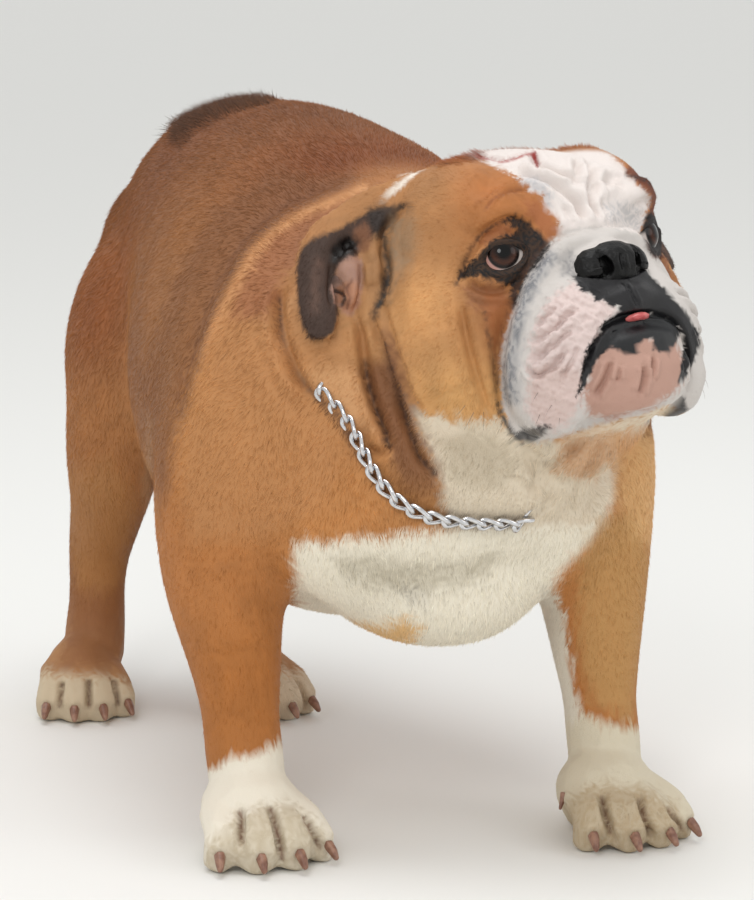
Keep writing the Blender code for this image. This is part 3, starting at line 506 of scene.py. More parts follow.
def eyeAxes(side):
    # out of the middle of the opening, towards the nose and up, as seen on that eye
    toCamera = (headInverse.to_3x3() @ (cameraPlace - eyeMiddle["right"])).normalized()
    flip = 1 if side == "right" else -1
    out = headTurn @ Vector((flip * toCamera.x, toCamera.y, toCamera.z))
    up = headTurn @ Vector((0, 0, 1))
    up = (up - out * up.dot(out)).normalized()
    nosewards = out.cross(up) if side == "left" else up.cross(out)
    return np.array(out), np.array(nosewards), np.array(up)


def lidOpening():
    # the outline of the opening: towards the nose, then up, in degrees
    outline = []
    for k in range(96):
        around = 2 * math.pi * k / 96
        across, rise = math.cos(around), math.sin(around)
        x = across * (eyeShape["inner"] if across > 0 else eyeShape["outer"])
        half = eyeShape["top"] if rise > 0 else eyeShape["bottom"]
        outline.append((x, abs(rise) ** 1.15 * math.copysign(half, rise)
                        + eyeShape["innerLift"] * across))
    return np.array(outline)


def inOutline(spots, outline):
    inside = np.zeros(len(spots), dtype=bool)
    x, y = spots[:, 0], spots[:, 1]
    for (x1, y1), (x2, y2) in zip(outline, np.roll(outline, -1, axis=0)):
        crosses = (y1 > y) != (y2 > y)
        inside ^= crosses & (x < (x2 - x1) * (y - y1) / (y2 - y1 + 1e-12) + x1)
    return inside


def outlineDistance(spots, outline):
    # how far outside an outline each spot is, below 0 inside
    away = np.full(len(spots), 1e9)
    for a, b in zip(outline, np.roll(outline, -1, axis=0)):
        way = b - a
        t = np.clip(((spots - a) @ way) / max(way @ way, 1e-12), 0, 1)
        away = np.minimum(away, np.linalg.norm(spots - a - t[:, None] * way, axis=1))
    return np.where(inOutline(spots, outline), -away, away)


def eyeAngles(points, side):
    # towards the nose and up from the eye's axis, in degrees, and the distance from its middle
    out, nosewards, up = eyeAxes(side)
    away = points - np.array(eyeMiddle[side])
    far = np.linalg.norm(away, axis=1)
    a, b, c = away @ nosewards, away @ up, away @ out
    turn = np.degrees(np.arctan2(np.hypot(a, b), c))
    size = np.maximum(np.hypot(a, b), 1e-9)
    return np.stack((turn * a / size, turn * b / size), axis=1), far


def shapeLids(made):
    points = pointsOf(made)
    outline = lidOpening()
    for side in ("right", "left"):
        middle = np.array(eyeMiddle[side])
        near = np.nonzero(np.linalg.norm(points - middle, axis=1) < eyeReach)[0]
        spots, far = eyeAngles(points[near], side)
        gap = outlineDistance(spots, outline)
        radius = eyeShape["radius"]
        lid = radius + eyeShape["rimGap"] + eyeShape["lidThickness"] * ramp(gap, 0.0, 5.0)
        lid += eyeShape["roundness"] * np.exp(-((gap - 8.0) / 5.0) ** 2)
        inner = radius + eyeShape["rimGap"] - (eyeShape["rimGap"] + eyeShape["sink"]) * ramp(-gap, 0.0, 6.0)
        target = np.where(gap > 0, lid, inner)
        hold = 1 - ramp(gap, eyeShape["hold"], eyeShape["letGo"])
        front = 1 - ramp(np.linalg.norm(spots, axis=1), 75.0, 95.0)
        share = hold * front * (1 - ramp(far, *eyeShape["reach"]))
        size = far + (target - far) * share
        way = (points[near] - middle) / np.maximum(far, 1e-9)[:, None]
        points[near] = middle + way * size[:, None]
    movePoints(made, points)


# Nose leather: its outline on the photo, from the dog's right side to the middle, and its openings
noseShape = {
    "voxel": 0.0006, "grow": 0.0002, "rounds": 5, "bowl": 0.0075, "bowlEdge": (-5.0, -1.5), "depth": -0.012,
    "outline": [(575, 278), (577, 268), (581, 256), (588, 250), (598, 246), (611, 244), (623, 244),
                (632, 249), (639, 256), (645, 264), (646, 272), (641, 276), (633, 278), (626, 281),
                (612, 281), (594, 280)],
}
noseLines = {
    "alar lump": (0.0036, -0.0012, 0, "both", [(597, 268), (598, 271)]),
    "nostril": (0.0019, 0.0060, 0.0002, "both", [(599, 257), (605, 260), (609, 266), (609, 272), (605, 277)]),
    "nostril slit": (0.0012, 0.0040, 0.0002, "both", [(606, 276), (598, 279), (588, 279)]),
    "nose groove": (0.0013, 0.0016, 0.0008, "one", [(621, 252), (622, 260), (624, 270), (626, 283)]),
    "nostril rim": (0.0014, -0.0007, 0, "both", [(605, 255), (613, 261), (614, 270), (611, 277)]),
}


def makeBowl(made):
    # the skin stands back behind the nose leather
    points = pointsOf(made)
    local = moved(headInverse, points)
    flipped = local * (-1, 1, 1)
    outline = np.array(noseShape["outline"], dtype=float)
    near = np.nonzero((np.abs(local[:, 0]) < 0.035) & (local[:, 1] < noseShape["depth"])
                      & (np.abs(local[:, 2] + 0.015) < 0.03))[0]
    gap = np.full(len(points), 99.0)
    for side in (local, flipped):
        spots = photoPixels(moved(headFrame, side[near]))
        gap[near] = np.minimum(gap[near], outlineDistance(spots, outline))
    low, high = noseShape["bowlEdge"]
    back = noseShape["bowl"] * (1 - ramp(gap, low, high))
    way = np.array(headTurn @ Vector((0, 1, 0)))
    movePoints(made, points + back[:, None] * way)


def thinSkin(made):
    # fewer faces, most of them kept where the face and its folds are
    parts = regionsOf(pointsOf(made))
    fine = skinShape["fineness"]
    keep = np.full(len(made.data.vertices), fine["body"])
    for name in ("head", "face", "ears", "feet"):
        keep = np.maximum(keep, fine[name] * parts[name])
    weightGroup(made, "spare", 1 - keep, levels=64)
    makeActive(made)
    bpy.ops.object.mode_set(mode="EDIT")
    bpy.ops.mesh.select_all(action="SELECT")
    bpy.ops.mesh.quads_convert_to_tris()
    bpy.ops.object.mode_set(mode="OBJECT")
    ratio = skinShape["triangles"] / len(made.data.polygons)
    modify(made, "DECIMATE", ratio=ratio, vertex_group="spare",
           vertex_group_factor=skinShape["evenness"])
    made.vertex_groups.clear()


# Colours of the coat, as seen on a screen from 0 to 255
def screen(red, green, blue):
    shares = np.array((red, green, blue)) / 255
    return np.where(shares <= 0.04045, shares / 12.92, ((shares + 0.055) / 1.055) ** 2.4)


# Fawn-red ground: places beside the body's middle line, as left side, and the colour there
coatGround = {
    "back": ((0.00, 0.050, 0.415), (118, 74, 46)),
    "loin": ((0.05, 0.120, 0.400), (126, 79, 51)),
    "rump": ((0.03, 0.240, 0.360), (125, 78, 45)),
    "tail": ((0.01, 0.275, 0.375), (88, 56, 38)),
    "withers": ((0.02, -0.060, 0.390), (121, 68, 38)),
    "ribs": ((0.13, 0.030, 0.270), (140, 92, 55)),
    "shoulder": ((0.14, -0.100, 0.270), (193, 133, 74)),
    "upper foreleg": ((0.14, -0.120, 0.170), (174, 112, 59)),
    "lower foreleg": ((0.12, -0.150, 0.100), (166, 103, 47)),
    "haunch": ((0.10, 0.180, 0.280), (140, 82, 43)),
    "thigh": ((0.11, 0.190, 0.190), (162, 106, 58)),
    "hock": ((0.10, 0.240, 0.090), (136, 82, 38)),
    "hind foot": ((0.10, 0.220, 0.025), (170, 126, 84)),
    "flank": ((0.09, 0.100, 0.200), (182, 128, 78)),
    "belly": ((0.00, 0.050, 0.115), (205, 160, 112)),
    "breast": ((0.06, -0.180, 0.200), (190, 130, 74)),
    "nape": ((0.03, -0.130, 0.400), (128, 76, 43)),
    "neck side": ((0.11, -0.130, 0.300), (178, 126, 80)),
}
# The same on the head, in its own frame
headGround = {
    "crown": ((0.03, 0.090, 0.060), (154, 96, 51)),
    "temple": ((0.07, 0.045, 0.035), (172, 124, 80)),
    "brow": ((0.05, 0.015, 0.030), (172, 106, 54)),
    "cheek": ((0.09, 0.040, -0.020), (204, 150, 95)),
    "jowl": ((0.08, 0.030, -0.080), (208, 158, 100)),
    "before the ear": ((0.085, 0.070, 0.000), (158, 116, 78)),
    "under the eye": ((0.06, -0.002, -0.030), (150, 96, 54)),
    "behind the jaw": ((0.085, 0.080, -0.080), (176, 122, 78)),
}


def wave(points, size, seed):
    # a soft random pattern of about the given size, from -1 to 1
    draw = np.random.default_rng(seed)
    total = np.zeros(len(points))
    for scale, strength in ((1.0, 0.6), (0.45, 0.4)):
        for _ in range(7):
            way = draw.normal(size=3)
            way *= 2 * math.pi / (size * scale * np.linalg.norm(way) * draw.uniform(0.7, 1.4))
            total += strength * 0.45 * np.sin(points @ way + draw.uniform(0, 2 * math.pi))
    return np.clip(total, -1, 1)


def groundAt(points):
    # blends the ground colours by their distance
    parts = regionsOf(points)
    spread = []
    for table, where, share in (
            (coatGround, points, 1 - parts["head"]), (headGround, parts["local"], parts["head"])):
        beside = where * (1, 1, 1)
        beside[:, 0] = np.abs(beside[:, 0])
        weight, colour = np.zeros(len(points)), np.zeros((len(points), 3))
        for place, tint in table.values():
            pull = 1 / (np.linalg.norm(beside - place, axis=1) + 0.012) ** 3
            weight += pull
            colour += pull[:, None] * screen(*tint)
        spread.append(share[:, None] * colour / weight[:, None])
    return spread[0] + spread[1]


# Markings, painted shade and painted highlights, painted in this order. Each: colour, strength, soft edge and
# ragged edge in pixels, speckle from 0 to 1, zone, then an outline (or a line with its half width first)
markingsAndShade = {
    "stripe": ((228, 217, 204), 1.0, 1.4, 0.6, 0, "neck", [
        (368, 210), (383, 195), (400, 181), (421, 166), (424, 168), (406, 184), (390, 197), (375, 211)]),
    "thigh light": ((167, 116, 66), 0.8, 12.0, 6.0, 0.1, "barrel", [
        (62, 470), (110, 460), (140, 500), (130, 560), (112, 610), (80, 610), (66, 550)]),
    "belly light": ((186, 148, 108), 0.6, 6.0, 3.0, 0.1, "barrel", [
        4.0, (152, 420), (150, 450), (147, 480), (150, 505)]),
    # painted shade: the barrel behind the shoulder darker
    "barrel side": ((125, 82, 53), 0.75, 12.0, 5.0, 0, "barrel", [
        (352, 180), (300, 205), (262, 240), (236, 275), (214, 318), (198, 360), (184, 400), (176, 440),
        (172, 480), (160, 505), (150, 470), (140, 380), (170, 280), (215, 210), (280, 170)]),
    # painted light: the near shoulder's fawn fur lighter where light falls on it
    "shoulder side": ((182, 128, 80), 0.7, 10.0, 5.0, 0, "front side", [
        (225, 312), (262, 320), (278, 342), (290, 372), (310, 400), (335, 430), (332, 500), (260, 540),
        (190, 540), (183, 480), (187, 420), (205, 360)]),
    # painted shade at the base of the withers, above the ear
    "above the ear": ((152, 97, 64), 0.85, 8.0, 4.0, 0.1, "side", [
        (366, 190), (332, 204), (302, 217), (274, 236), (252, 260), (238, 290), (232, 316), (262, 318),
        (276, 302), (282, 280), (296, 262), (302, 244), (328, 226), (352, 214), (370, 202)]),
    # painted shade at the base of the withers, behind the ear
    "behind the ear": ((146, 96, 64), 0.8, 6.0, 3.0, 0.1, "side", [
        (302, 228), (330, 212), (352, 204), (330, 226), (306, 242), (296, 262), (286, 262)]),
    # painted shadow line along the nape crease
    "nape crease": ((84, 54, 38), 0.95, 3.5, 1.5, 0.1, "front side", [
        2.2, (280, 300), (281, 330), (287, 352), (296, 370), (306, 384), (318, 398)]),
    "chest": ((228, 220, 202), 1.0, 7.0, 4.0, 0, "front", [
        (292, 550), (305, 540), (330, 542), (352, 536), (380, 538), (410, 532), (440, 530), (480, 522),
        (519, 510), (560, 480), (600, 462), (614, 466), (612, 500), (604, 525), (590, 545), (571, 560),
        (556, 580), (552, 610), (556, 640), (562, 680), (566, 715), (552, 720), (545, 655), (520, 670),
        (440, 670), (300, 668), (296, 600)]),
    "throat": ((214, 200, 178), 1.0, 5.0, 5.0, 0, "throat", [
        (402, 392), (412, 407), (430, 414), (460, 422), (490, 418), (503, 418), (517, 438), (560, 438),
        (600, 424), (640, 414), (668, 404), (690, 420), (640, 440), (612, 466), (600, 525), (519, 528),
        (455, 527), (440, 505), (441, 488), (430, 460), (414, 425)]),
    "breast patch": ((214, 172, 112), 0.9, 6.0, 6.0, 0, "front", [
        (300, 622), (320, 616), (350, 622), (380, 626), (405, 619), (422, 628), (412, 643), (380, 654),
        (330, 657), (300, 645)]),
    "chest grey": ((170, 160, 138), 0.7, 9.0, 5.0, 0.4, "front", [
        (330, 556), (360, 552), (400, 560), (440, 566), (470, 560), (500, 545), (490, 572), (440, 590),
        (390, 590), (350, 580)]),
    "throat grey": ((180, 166, 142), 0.7, 7.0, 4.0, 0.3, "throat", [
        (440, 440), (470, 430), (500, 440), (520, 462), (500, 486), (470, 490), (446, 474)]),
    "chest ticks": ((120, 112, 104), 0.5, 8.0, 4.0, 0.6, "front", [
        (398, 590), (415, 585), (432, 592), (428, 604), (410, 604)]),
    "right sock": ((226, 218, 202), 1.0, 3.0, 2.5, 0, "right foreleg", [
        (150, 770), (215, 768), (232, 757), (262, 752), (285, 741), (320, 738), (380, 760), (380, 900),
        (150, 900)]),
    "left sock": ((206, 196, 174), 1.0, 3.0, 2.5, 0, "left foreleg", [
        (500, 722), (552, 718), (575, 711), (605, 721), (640, 729), (720, 745), (720, 900), (500, 900)]),
    "left leg strip": ((212, 204, 188), 1.0, 4.0, 5.0, 0, "left foreleg", [
        (540, 585), (556, 590), (564, 620), (571, 660), (577, 700), (580, 720), (540, 724)]),
    "right hind toes": ((197, 181, 154), 0.95, 8.0, 6.0, 0, "hind", [
        (10, 676), (60, 672), (104, 676), (150, 690), (150, 740), (10, 740)]),
    "left hind toes": ((200, 184, 160), 0.9, 8.0, 6.0, 0, "hind", [
        (270, 672), (330, 670), (330, 730), (270, 730)]),
    "forehead": ((222, 213, 208), 1.0, 2.5, 3.0, 0, "head", [
        (468, 155), (482, 159), (489, 165), (500, 169), (511, 173), (521, 180), (532, 192), (543, 195),
        (546, 208), (556, 217), (559, 229), (558, 238), (607, 240), (640, 240), (641, 229), (648, 211),
        (652, 198), (640, 186), (625, 170), (600, 140), (470, 120)]),
    "muzzle": ((200, 194, 189), 1.0, 1.5, 1.5, 0, "head", [
        (607, 226), (588, 227), (572, 229), (557, 234), (546, 244), (537, 256), (523, 280), (516, 302),
        (507, 326), (501, 352), (500, 383), (503, 404), (509, 426), (517, 440), (530, 443), (560, 438),
        (600, 424), (640, 415), (668, 404), (700, 420), (720, 380), (710, 300), (680, 255), (650, 236)]),
    "pads": ((214, 194, 189), 0.9, 5.0, 4.0, 0, "head", [
        (575, 282), (560, 290), (549, 300), (539, 318), (531, 340), (528, 365), (531, 385), (527, 408),
        (537, 428), (560, 430), (575, 415), (583, 398), (585, 372), (594, 345), (605, 325), (618, 312),
        (608, 298), (590, 292)]),
    "pads low": ((196, 170, 160), 0.5, 6.0, 3.0, 0.15, "head", [
        (532, 370), (560, 364), (582, 372), (583, 398), (574, 418), (552, 428), (536, 420), (528, 400)]),
    "chin": ((180, 140, 124), 0.95, 4.0, 3.0, 0, "head", [
        (584, 396), (590, 368), (602, 346), (640, 335), (676, 340), (688, 372), (676, 392), (650, 408),
        (612, 418), (590, 416)]),
    "muzzle grey": ((150, 150, 152), 0.7, 5.0, 3.0, 0.4, "head", [
        6.5, (552, 256), (540, 272), (530, 292), (521, 316), (516, 342), (513, 370), (514, 396)]),
    "muzzle ticks": ((104, 106, 112), 0.75, 4.0, 2.0, 0.75, "head", [
        5.5, (548, 258), (534, 276), (525, 296), (517, 320), (512, 345), (509, 372), (510, 400)]),
    "beside the nose": ((96, 98, 104), 0.6, 4.0, 2.0, 0.5, "head", [
        (558, 256), (572, 250), (578, 262), (574, 278), (564, 276)]),
    "brow grey": ((158, 164, 172), 0.6, 5.0, 3.0, 0.3, "head", [
        (521, 180), (533, 178), (546, 184), (552, 196), (549, 208), (543, 196), (533, 190)]),
    "forehead ticks": ((150, 154, 158), 0.5, 5.0, 3.0, 0.7, "head", [
        (603, 206), (618, 201), (640, 208), (642, 228), (622, 226), (608, 221)]),
    "under the eye": ((132, 84, 56), 0.75, 6.0, 3.0, 0.15, "head", [
        (462, 284), (480, 284), (500, 286), (510, 294), (500, 308), (484, 312), (470, 306)]),
    "brow corner": ((160, 96, 58), 0.8, 5.0, 3.0, 0.1, "head", [
        (524, 200), (540, 202), (556, 220), (558, 236), (546, 238), (536, 226), (526, 214)]),
    "inner cheek": ((150, 88, 46), 0.85, 7.0, 3.0, 0.2, "head", [
        (486, 292), (502, 294), (514, 304), (506, 326), (499, 346), (497, 372), (491, 352), (484, 322)]),
    "cheek ticks": ((62, 46, 34), 0.55, 2.0, 1.0, 0.7, "head", [
        2.6, (484, 312), (489, 335), (494, 362), (497, 390)]),
    "eyelid brown": ((146, 88, 52), 0.8, 4.0, 2.0, 0, "head", [
        (478, 246), (486, 232), (500, 224), (514, 226), (512, 237), (496, 238), (486, 246)]),
    "eye black": ((24, 22, 22), 1.0, 2.2, 2.2, 0.1, "head", [
        (458, 273), (466, 266), (480, 254), (487, 245), (494, 238), (506, 234), (514, 235), (515, 229),
        (508, 224), (503, 219), (515, 215), (522, 218), (530, 224), (538, 230), (544, 238), (551, 243),
        (548, 250), (544, 256), (537, 265), (529, 273), (523, 284), (518, 297), (513, 308), (510, 298),
        (512, 288), (505, 284), (496, 281), (485, 279), (478, 276), (468, 277), (458, 280)]),
    # painted shade in the two brow folds
    "brow line": ((64, 42, 30), 0.8, 2.0, 1.0, 0.2, "head", [
        1.6, (456, 286), (462, 268), (470, 251), (480, 235), (493, 226), (506, 220)]),
    "high brow line": ((120, 70, 40), 0.6, 2.0, 1.0, 0, "head", [
        1.2, (485, 210), (491, 202), (498, 196), (510, 192), (522, 190)]),
    "crown line": ((168, 92, 88), 0.9, 1.2, 0.6, 0, "head", [
        1.0, (480, 158), (492, 159), (504, 162), (514, 159), (524, 155), (533, 154)]),
    "crown nick": ((142, 50, 44), 1.0, 1.2, 0.5, 0, "head", [
        (530, 153), (536, 151), (540, 166), (537, 169)]),
    # painted shade along the crease at the muzzle's edge
    "muzzle line": ((92, 56, 38), 0.55, 3.0, 1.5, 0.3, "head", [
        1.5, (553, 238), (540, 250), (527, 269), (516, 290), (509, 310), (502, 332), (498, 356), (498, 383)]),
    "ear": ((66, 49, 41), 1.0, 1.6, 0.5, 0, "ear", [
        (392, 206), (368, 213), (350, 223), (330, 232), (312, 239), (300, 250), (297, 270), (298, 304),
        (302, 326), (311, 338), (324, 339), (334, 332), (338, 316), (338, 303), (335, 292), (334, 283),
        (336, 272), (341, 264), (349, 259), (358, 256), (362, 246), (372, 236), (384, 226)]),
    "ear sheen": ((104, 78, 66), 0.7, 6.0, 2.0, 0, "ear", [3.0, (318, 262), (315, 285), (316, 308)]),
    # painted shade in the hollow at the top of the ear
    "ear hollow": ((24, 20, 19), 0.95, 4.0, 1.0, 0, "ear", [
        (330, 250), (339, 240), (350, 236), (358, 242), (355, 252), (346, 257), (336, 264), (331, 262)]),
    "ear red": ((132, 88, 62), 0.8, 4.0, 2.0, 0, "ear", [
        (352, 232), (366, 222), (374, 232), (368, 250), (360, 256), (358, 244)]),
    "burr": ((166, 128, 112), 1.0, 2.5, 1.0, 0.15, "ear", [
        (341, 262), (349, 257), (358, 257), (363, 264), (363, 285), (359, 305), (351, 317), (344, 313),
        (336, 304), (331, 290), (333, 282), (336, 271)]),
    "burr flesh": ((172, 118, 86), 0.85, 3.0, 1.0, 0.1, "ear", [
        (337, 286), (345, 282), (354, 281), (361, 292), (358, 306), (350, 315), (343, 312), (336, 302)]),
    "burr shade": ((108, 70, 54), 0.85, 2.0, 0.8, 0, "ear", [
        1.3, (352, 281), (346, 288), (350, 298), (347, 308)]),
    # painted shade in the split of the burr
    "burr dark": ((60, 44, 38), 0.9, 1.5, 0.6, 0, "ear", [1.6, (335, 291), (342, 293), (345, 298), (342, 305)]),
    # painted shade where the ear meets the head, over its dark fur
    "ear root": ((44, 36, 32), 0.9, 3.0, 2.0, 0.1, "head", [
        (369, 208), (382, 205), (412, 203), (400, 212), (391, 222), (383, 240), (374, 238), (369, 224)]),
    "before the ear grey": ((104, 84, 64), 0.6, 6.0, 3.0, 0.2, "head", [
        3.5, (396, 216), (392, 236), (392, 258), (392, 280), (388, 300)]),
    # painted highlight along the neck roll
    "neck roll light": ((210, 160, 112), 0.65, 8.0, 4.0, 0, "neck", [
        (290, 300), (300, 345), (312, 350), (335, 345), (348, 360), (362, 400), (372, 430), (350, 425),
        (330, 400), (300, 375), (286, 345)]),
    # painted shadow in the deep crease between the ear and the cheek
    "beside the ear": ((58, 42, 32), 0.9, 4.0, 2.0, 0.1, "head", [
        3.2, (386, 274), (384, 290), (379, 304), (374, 316)]),
    # painted shade in the crease before the ear
    "before the ear": ((52, 48, 44), 0.85, 3.0, 1.5, 0.1, "head", [
        2.4, (384, 238), (386, 252), (389, 268), (387, 287), (379, 305)]),
    "grey temple": ((150, 134, 112), 0.45, 8.0, 4.0, 0.3, "head", [
        (392, 222), (412, 214), (420, 240), (410, 268), (396, 276), (390, 250)]),
    # painted shadow of the chain on the fur under it
    "beside the chain": ((80, 52, 38), 0.85, 3.5, 1.5, 0.1, "front", [
        3.8, (320, 398), (338, 418), (353, 440), (363, 457), (378, 480), (397, 500), (420, 513),
        (450, 520), (490, 523), (518, 522)]),
    "neck shade": ((120, 77, 48), 0.9, 9.0, 4.0, 0, "neck", [
        (352, 316), (376, 318), (398, 350), (408, 385), (420, 430), (440, 470), (446, 500), (424, 502),
        (400, 492), (392, 462), (386, 440), (374, 410), (364, 380), (358, 345)]),
    # painted shade in the two neck folds
    "neck line one": ((58, 38, 28), 0.85, 2.5, 1.5, 0.1, "neck", [
        2.4, (356, 316), (361, 335), (364, 355), (368, 380), (376, 408), (385, 432), (389, 446)]),
    "neck line two": ((66, 44, 32), 0.85, 2.5, 1.5, 0.1, "neck", [
        2.4, (374, 325), (386, 352), (395, 380), (403, 406), (411, 432), (420, 457), (434, 474)]),
    "flew rim": ((34, 30, 32), 0.9, 2.0, 1.5, 0.1, "head", [
        1.9, (498, 402), (501, 412), (507, 426), (515, 438)]),
    "flew spot": ((28, 28, 30), 0.95, 3.0, 2.5, 0.2, "head", [
        (514, 438), (521, 429), (533, 427), (545, 425), (551, 428), (542, 435), (532, 443), (520, 443)]),
    "upper lip": ((24, 23, 25), 1.0, 0.8, 1.6, 0, "head", [
        (573, 277), (577, 284), (584, 292), (591, 293), (595, 301), (604, 301), (608, 306), (617, 306),
        (620, 304), (618, 311), (612, 316), (603, 322), (600, 330), (599, 336), (593, 339), (590, 345),
        (586, 350), (586, 356), (582, 364), (581, 373), (581, 381), (576, 397), (585, 386), (592, 369),
        (600, 356), (612, 346), (620, 330), (634, 318), (650, 314), (666, 318), (677, 326), (684, 338),
        (683, 354), (678, 376), (680, 383), (687, 376), (691, 366), (696, 356), (699, 343), (697, 330),
        (692, 321), (683, 308), (672, 297), (662, 285), (652, 277), (646, 268), (600, 262)]),
    "lower lip": ((26, 27, 29), 1.0, 0.8, 1.6, 0, "head", [
        (597, 353), (603, 347), (612, 347), (621, 349), (624, 354), (632, 358), (638, 348), (644, 339),
        (653, 340), (654, 349), (659, 352), (668, 353), (676, 343), (680, 330), (675, 320), (661, 313),
        (641, 314), (622, 322), (608, 334)]),
    "far brow": ((112, 62, 42), 1.0, 2.5, 2.0, 0, "far side", [
        (626, 174), (634, 180), (642, 188), (652, 196), (650, 208), (647, 222), (644, 236), (650, 256),
        (680, 262), (690, 200), (660, 165), (632, 160)]),
    "far eye black": ((30, 24, 23), 1.0, 2.5, 1.5, 0, "far side", [
        (648, 212), (655, 214), (662, 222), (668, 245), (660, 258), (648, 254), (642, 244), (642, 228)]),
    "far brow rim": ((52, 34, 28), 0.9, 2.0, 1.0, 0, "far side", [
        1.6, (627, 176), (636, 177), (646, 181), (655, 187), (659, 200), (660, 212)]),
    "tail tuft": ((66, 46, 34), 0.9, 4.0, 3.0, 0.3, "hind", [
        (174, 140), (178, 124), (192, 108), (212, 98), (236, 92), (262, 92), (285, 97), (268, 106),
        (240, 112), (214, 120), (196, 130), (184, 146)]),
    "crown tuft": ((128, 66, 42), 0.8, 5.0, 3.0, 0.2, "neck", [
        (436, 160), (446, 148), (458, 143), (474, 140), (488, 146), (484, 158), (466, 162), (446, 166)]),
    # painted highlight along the ridge of the shoulder roll
    "shoulder band": ((208, 152, 102), 0.8, 4.5, 3.0, 0, "side", [
        3.0, (366, 187), (336, 200), (305, 213), (277, 230), (255, 253), (240, 276), (227, 300), (214, 328),
        (204, 352)]),
    # painted shade in the groove behind the shoulder
    "behind the shoulder": ((110, 70, 46), 0.65, 8.0, 4.0, 0, "barrel", [
        4.5, (346, 183), (312, 196), (282, 210), (256, 230), (236, 258), (220, 288), (206, 322), (192, 362),
        (182, 408)]),
    "hock red": ((134, 84, 48), 0.7, 10.0, 5.0, 0.1, "hind", [
        (74, 590), (120, 590), (128, 640), (122, 668), (60, 668), (66, 630)]),
    "right toes": ((178, 162, 133), 0.75, 8.0, 6.0, 0.3, "right foreleg", [
        (236, 818), (262, 806), (296, 806), (330, 838), (330, 900), (200, 900), (206, 846)]),
    # dark lines between the toes: the bare skin there and painted shade in the gaps
    "right toe lines": ((114, 78, 60), 0.9, 2.4, 0.6, 0, "right foreleg", [
        2.0, (240, 812), (241, 826), (241, 842)]),
    "right toe lines too": ((109, 73, 55), 0.9, 2.4, 0.6, 0, "right foreleg", [
        2.0, (270, 810), (275, 824), (279, 842), (282, 858)]),
    "right toe lines last": ((114, 78, 59), 0.9, 2.4, 0.6, 0, "right foreleg", [
        1.6, (304, 818), (311, 832), (319, 846)]),
    "left toes": ((172, 150, 118), 0.85, 8.0, 6.0, 0.3, "left foreleg", [
        (575, 792), (600, 784), (640, 786), (676, 806), (700, 840), (640, 870), (560, 850), (560, 806)]),
    # dark lines between the toes: the bare skin there and painted shade in the gaps
    "left toe lines": ((106, 73, 52), 0.9, 2.4, 0.6, 0, "left foreleg", [
        1.8, (602, 798), (605, 812), (610, 832)]),
    "left toe lines too": ((106, 73, 52), 0.9, 2.4, 0.6, 0, "left foreleg", [
        1.8, (639, 800), (644, 816), (650, 834)]),
    "left toe lines last": ((109, 77, 55), 0.9, 2.4, 0.6, 0, "left foreleg", [
        1.5, (668, 808), (675, 818), (682, 830)]),
    # dark lines between the toes: the bare skin there and painted shade in the gaps
    "hind toe lines": ((98, 68, 49), 0.9, 2.4, 0.6, 0, "hind", [1.8, (62, 684), (61, 694), (60, 706)]),
    "hind toe lines too": ((98, 68, 49), 0.9, 2.4, 0.6, 0, "hind", [1.8, (89, 682), (89, 706)]),
    "hind toe lines last": ((98, 68, 49), 0.9, 2.4, 0.6, 0, "hind", [1.8, (114, 682), (118, 704)]),
    "left leg light": ((180, 138, 84), 0.85, 9.0, 5.0, 0.1, "front side", [
        (580, 560), (600, 520), (640, 500), (652, 560), (646, 640), (632, 720), (590, 700), (578, 640)]),
    # painted light on the far shoulder over its tan fur
    "left shoulder": ((214, 170, 116), 0.8, 10.0, 6.0, 0, "front", [
        (616, 440), (664, 428), (668, 470), (660, 540), (640, 540), (618, 500)]),
    "throat tan": ((196, 142, 92), 0.75, 7.0, 5.0, 0.2, "throat", [
        (560, 440), (600, 432), (650, 424), (668, 428), (650, 446), (612, 462), (590, 478), (556, 470)]),
    "far flew": ((26, 26, 28), 0.95, 2.0, 1.5, 0, "far side", [
        (667, 399), (674, 386), (684, 399), (689, 408), (685, 414), (670, 420), (665, 416)]),
}


bareMarkings = ("upper lip", "lower lip", "far flew", "burr", "burr dark", "ear hollow", "flew spot")
# Hair that stands out: how much longer in mm and how many degrees steeper
raisedMarkings = {"tail tuft": (7.0, 20.0), "crown tuft": (5.0, 22.0)}


def lineDistance(spots, line):
    away = np.full(len(spots), 1e9)
    for a, b in zip(line, line[1:]):
        way = b - a
        t = np.clip(((spots - a) @ way) / (way @ way), 0, 1)
        away = np.minimum(away, np.linalg.norm(spots - a - t[:, None] * way, axis=1))
    return away


# The head as a rounded block, to tell which of its far side the photo shows
farSide = {"middle": (0.0, 0.060, -0.02), "radii": (0.085, 0.090, 0.075), "turn": (-0.16, -0.06),
           "lowFace": (-0.035, -0.005), "lower": 0.24}


def toPhotoSide(points):
    # the far side of the head takes the near side's markings, but what the photo shows stays
    local = moved(headInverse, points)
    mirror = local.copy()
    mirror[:, 0] = -np.abs(mirror[:, 0])
    left = ramp(local[:, 0], 0.0, 0.004)
    out = (local - farSide["middle"]) / np.array(farSide["radii"]) ** 2
    out /= np.linalg.norm(out, axis=1)[:, None]
    toCamera = headInverse.to_3x3() @ (cameraPlace - headPlace).normalized()
    low = 1 - ramp(local[:, 2], *farSide["lowFace"])
    unseen = left * (1 - ramp(out @ np.array(toCamera) - farSide["lower"] * low, *farSide["turn"]))
    unseen = np.maximum(unseen, left * regionsOf(points)["ears"])
    return moved(headFrame, mirror), unseen


